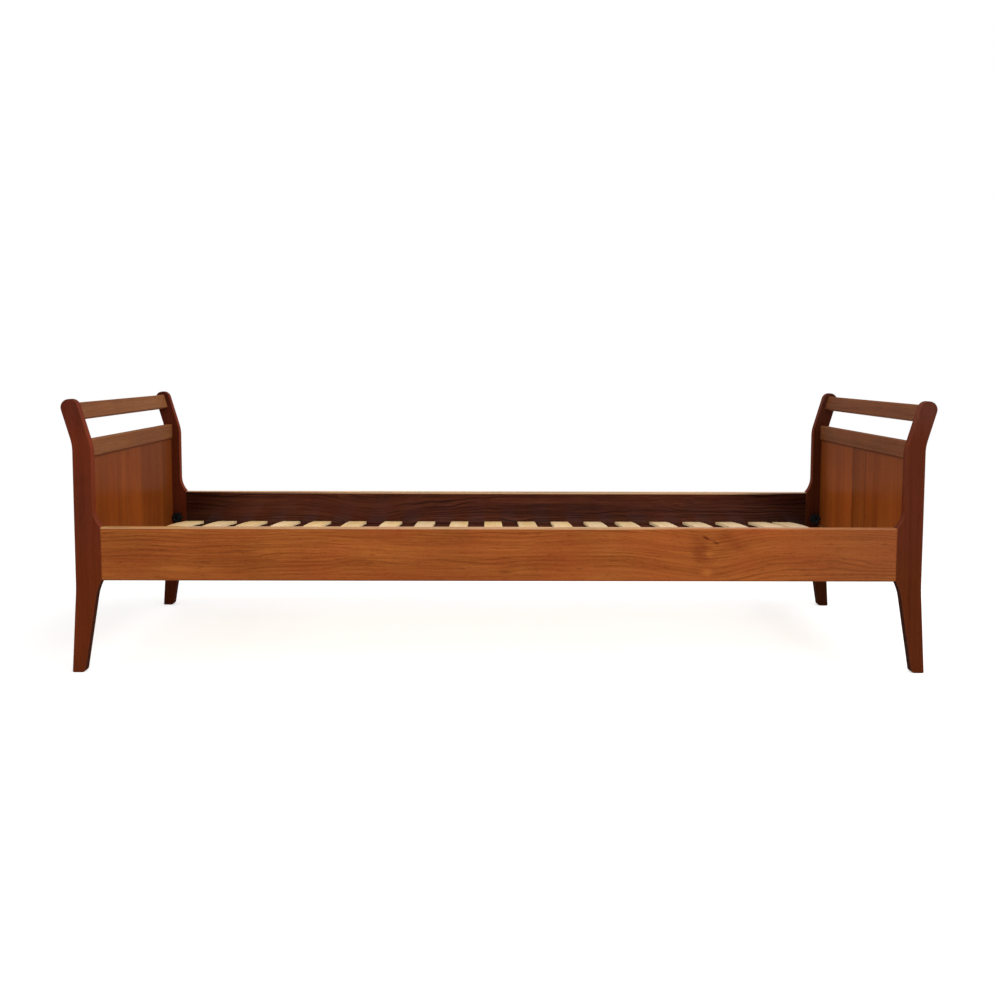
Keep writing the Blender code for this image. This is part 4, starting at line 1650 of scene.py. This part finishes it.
@dataclass
class HandScrews(Assembly):
    """The four hand screws with their washers and inserts."""

    # Radius, height over the seat and share of the lobes for each ring of a knob, from hub to crown.
    knob_rings: tuple[Triple, ...] = (
        (0.0, 0.0, 0.0), (0.0070, 0.0, 0.0), (0.0084, 0.0001, 0.0), (0.0090, 0.0007, 0.0),
        (0.0090, 0.0085, 0.0), (0.0093, 0.0094, 0.05), (0.0102, 0.0099, 0.2),
        (0.0130, 0.0101, 0.6), (0.0152, 0.0105, 0.95), (0.0165, 0.0118, 1.0),
        (0.0170, 0.0140, 1.0), (0.0170, 0.0198, 1.0), (0.0166, 0.0219, 1.0),
        (0.0155, 0.0234, 0.95), (0.0138, 0.0240, 0.75), (0.0115, 0.0240, 0.35),
        (0.0098, 0.0236, 0.05), (0.0090, 0.0226, 0.0), (0.0084, 0.0222, 0.0),
        (0.0078, 0.0223, 0.0), (0.0074, 0.0229, 0.0), (0.0062, 0.0233, 0.0),
        (0.0030, 0.0236, 0.0), (0.0, 0.0237, 0.0))
    lobes: int = 6
    lobe_depth: float = 0.003
    steps: int = 96
    seat: float = 0.0022
    washer_gap: float = 0.0003
    thread_major: float = 0.0039
    thread_minor: float = 0.0033
    pitch: float = 0.00125
    stud_tip: float = -0.0205
    tip_radius: float = 0.0026
    thread_steps: int = 20
    rows_per_turn: int = 5

    def knob(self, name: str, place: Matrix) -> bpy.types.Object:
        """Make a knob with finger hollows, a dished face and a cap in its middle.

        Args:
            name: the knob's name.
            place: the place of its washer's face, with its axis along Z.

        Returns:
            The knob.
        """
        def reach(index: int, angle: float) -> float:
            """Return the knob's radius on a ring at an angle."""
            radius, _, share = self.knob_rings[index]
            return radius - share * self.lobe_depth * (1 - math.cos(self.lobes * angle)) / 2

        rings = [(radius, self.seat + height) for radius, height, _ in self.knob_rings]
        return new_piece(name, ring_stack(rings, self.steps, reach), place)

    def stud(self, name: str, place: Matrix) -> bpy.types.Object:
        """Make the threaded stud, with a chamfer at its tip.

        Args:
            name: the stud's name.
            place: the place of its washer's face, with its axis along Z.

        Returns:
            The stud.
        """
        length = self.seat - self.stud_tip
        count = round(length / self.pitch * self.rows_per_turn)
        heights = [self.stud_tip + length * i / count for i in range(count + 1)]
        rings = [(0.0, self.stud_tip)] + [(self.thread_minor, z) for z in heights] + [(0.0, self.seat)]

        def reach(index: int, angle: float) -> float:
            """Follow the thread.

            Args:
                index: the ring's number.
                angle: the angle round the stud.

            Returns:
                The stud's radius there.
            """
            height = rings[index][1]
            phase = (height / self.pitch - angle / FULL_TURN) % 1.0
            crest = self.thread_minor + (self.thread_major - self.thread_minor) * (1 - abs(2 * phase - 1))
            return min(crest, self.tip_radius + (height - self.stud_tip))

        return new_piece(name, ring_stack(rings, self.thread_steps, reach), place)

    def build(self) -> None:
        """Make the knobs and the studs of the four corners."""
        plastic = PlasticFinish("black moulded plastic").build(self.effects)
        steel = MetalFinish("zinc of the studs", (182, 182, 180), (124, 122, 118), 0.32).build(self.effects)
        for end in End:
            for side in Side:
                corner = f"{end.word}_{side.word}"
                low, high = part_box(f"{corner}_washer")
                face = low.y - self.washer_gap if side is Side.FRONT else high.y + self.washer_gap
                spot = Vector(((low.x + high.x) / 2, face, (low.z + high.z) / 2))
                place = Matrix.Translation(spot) @ Matrix.Rotation(side.value * math.pi / 2, 4, "X")
                knob = self.knob(f"{corner}_knob", place)
                knob.data.materials.append(plastic)
                self.keep(knob, f"{corner}_hand_screw", "black_plastic", [f"{corner}_hand_screw"])
                stud = self.stud(f"{corner}_stud", place)
                stud.data.materials.append(steel)
                self.keep(stud, f"{corner}_hand_screw", "zinc_plate")

    def dress(self) -> None:
        """Finish the washers and the inserts."""
        corners = [f"{end.word}_{side.word}" for end in End for side in Side]
        self.paint([f"{corner}_washer" for corner in corners],
                   MetalFinish("zinc of the washers", (186, 186, 184), (136, 134, 130), 0.30))
        self.paint([f"{corner}_threaded_insert" for corner in corners],
                   MetalFinish("turned brass", (196, 158, 88), (142, 106, 54), 0.30))


@dataclass(frozen=True)
class Lamp:
    """A soft rectangular lamp: where it hangs, the point that it faces, its size and its power in watts."""

    name: str
    spot: Triple
    aim: Triple
    size: Pair
    power: float

    def hang(self) -> None:
        """Hang the lamp in the scene."""
        data = bpy.data.lights.new(self.name, "AREA")
        data.shape = "RECTANGLE"
        data.size, data.size_y = self.size
        data.energy = self.power
        lamp = bpy.data.objects.new(self.name, data)
        lamp.location = self.spot
        lamp.rotation_euler = (Vector(self.aim) - Vector(self.spot)).to_track_quat("-Z", "Y").to_euler()
        bpy.context.scene.collection.objects.link(lamp)


@dataclass
class Studio:
    """Floor, light and camera."""

    focal_pixels: float = 1344.62
    frame_width: int = 994
    position: Triple = (-0.034251, -3.740358, 0.753135)
    tilt: float = 0.097782
    yaw: float = 0.008337
    roll: float = -0.002951
    sensor: float = 36.0
    view_end: float = 100.0
    lamps: tuple[Lamp, ...] = (
        Lamp("overhead softbox", (0.5, -0.7, 2.9), (0.0, 0.0, 0.3), (3.4, 2.2), 48.0),
        Lamp("front softbox", (1.2, -3.6, 2.1), (0.0, -0.3, 0.35), (3.4, 1.6), 52.0))
    ambient: float = 0.50
    floor_half: float = 30.0
    floor_cells: int = 8
    floor_drop: float = 0.0005
    floor_tones: tuple[Colour, Colour] = ((228, 228, 228), (234, 234, 234))
    floor_speckle: Triple = (3.0, 3.0, 3.0)
    floor_roughness: float = 0.9
    floor_glow: float = 0.55
    floor_shape: Triple = (0.7, 1.0, 0.0)
    floor_fade: Pair = (1.4, 3.2)

    def camera(self) -> None:
        """Stand the camera where the view was taken."""
        data = bpy.data.cameras.new("viewpoint")
        data.sensor_fit = "HORIZONTAL"
        data.sensor_width = self.sensor
        data.lens = self.focal_pixels * self.sensor / self.frame_width
        data.clip_end = self.view_end
        ahead = Vector((math.sin(self.yaw) * math.cos(self.tilt), math.cos(self.yaw) * math.cos(self.tilt),
                        -math.sin(self.tilt)))
        level = Vector((math.cos(self.yaw), -math.sin(self.yaw), 0.0))
        down = ahead.cross(level)
        right = math.cos(self.roll) * level + math.sin(self.roll) * down
        low = -math.sin(self.roll) * level + math.cos(self.roll) * down
        turn = Matrix((right, -low, -ahead)).transposed().to_4x4()
        camera = bpy.data.objects.new("viewpoint", data)
        camera.matrix_world = Matrix.Translation(self.position) @ turn
        bpy.context.scene.collection.objects.link(camera)
        bpy.context.scene.camera = camera

    @staticmethod
    def seen(graph: Graph) -> Socket:
        """Tell the rays that show a surface from those that only light it.

        Args:
            graph: the nodes of a material or of the world.

        Returns:
            1 for rays from the camera and for those that mirror or pass through a surface.
        """
        path = graph.add("ShaderNodeLightPath").outputs
        direct = graph.math("MAXIMUM", path["Is Camera Ray"], path["Is Glossy Ray"])
        return graph.math("MAXIMUM", direct, path["Is Transmission Ray"])

    def world(self) -> None:
        """Make a white backdrop that lights the bed softly."""
        world = bpy.data.worlds.new("white backdrop")
        world.use_nodes = True
        graph = Graph(world.node_tree)
        shader = world.node_tree.nodes["Background"]
        shader.inputs["Color"].default_value = (1.0, 1.0, 1.0, 1.0)
        strength = graph.plus(graph.times(self.seen(graph), 1.0 - self.ambient), self.ambient)
        graph.put(shader.inputs["Strength"], strength)
        bpy.context.scene.world = world

    def floor_material(self) -> bpy.types.Material:
        """Make the pale floor, which keeps a shadow near the bed and turns white further out.

        Returns:
            The floor's material.
        """
        material = bpy.data.materials.new("pale floor")
        material.use_nodes = True
        graph = Graph(material.node_tree)
        shader = material.node_tree.nodes["Principled BSDF"]
        place = Finish.place(graph)
        tones = (linear(tone) for tone in self.floor_tones)
        graph.put(shader.inputs["Base Color"], graph.mix(graph.noise(place, self.floor_speckle, 3.0), *tones))
        shader.inputs["Roughness"].default_value = self.floor_roughness
        shader.inputs["Specular IOR Level"].default_value = 0.0
        seen = self.seen(graph)
        glow = graph.add("ShaderNodeEmission")
        graph.put(glow.inputs["Strength"], graph.times(seen, self.floor_glow))
        near = graph.add("ShaderNodeAddShader")
        graph.put(near.inputs[0], shader.outputs[0])
        graph.put(near.inputs[1], glow.outputs[0])
        white = graph.add("ShaderNodeEmission")
        away = graph.vector("LENGTH", graph.vector("MULTIPLY", place, self.floor_shape))
        both = graph.add("ShaderNodeMixShader")
        graph.put(both.inputs[0], graph.times(seen, graph.ramp(away, *self.floor_fade)))
        graph.put(both.inputs[1], near.outputs[0])
        graph.put(both.inputs[2], white.outputs[0])
        graph.put(material.node_tree.nodes["Material Output"].inputs["Surface"], both.outputs[0])
        return material

    def floor(self) -> None:
        """Lay the floor."""
        cage = bmesh.new()
        bmesh.ops.create_grid(cage, x_segments=self.floor_cells, y_segments=self.floor_cells, size=self.floor_half)
        floor = new_piece("floor", cage, Matrix.Translation((0, 0, -self.floor_drop)), smooth=False)
        floor.data.materials.append(self.floor_material())

    def build(self) -> None:
        """Set up the camera, the light and the floor."""
        self.camera()
        self.world()
        self.floor()
        for lamp in self.lamps:
            lamp.hang()
        bpy.context.scene.view_settings.view_transform = "Standard"


def main() -> None:
    """Build the bed's looks, piece by piece."""
    logging.basicConfig(level=logging.INFO, format="%(name)s: %(message)s")
    Studio().build()
    effects = Effects()
    shading = SoftShading(SHARP_EDGE)
    for kind in (BedEnds, SideRails, SlatBase, HandScrews):
        assembly = kind(effects, shading)
        assembly.build()
        assembly.dress()
        LOG.info("%s: %d new pieces", kind.__name__, len(assembly.pieces))


if __name__ == "__main__":
    main()
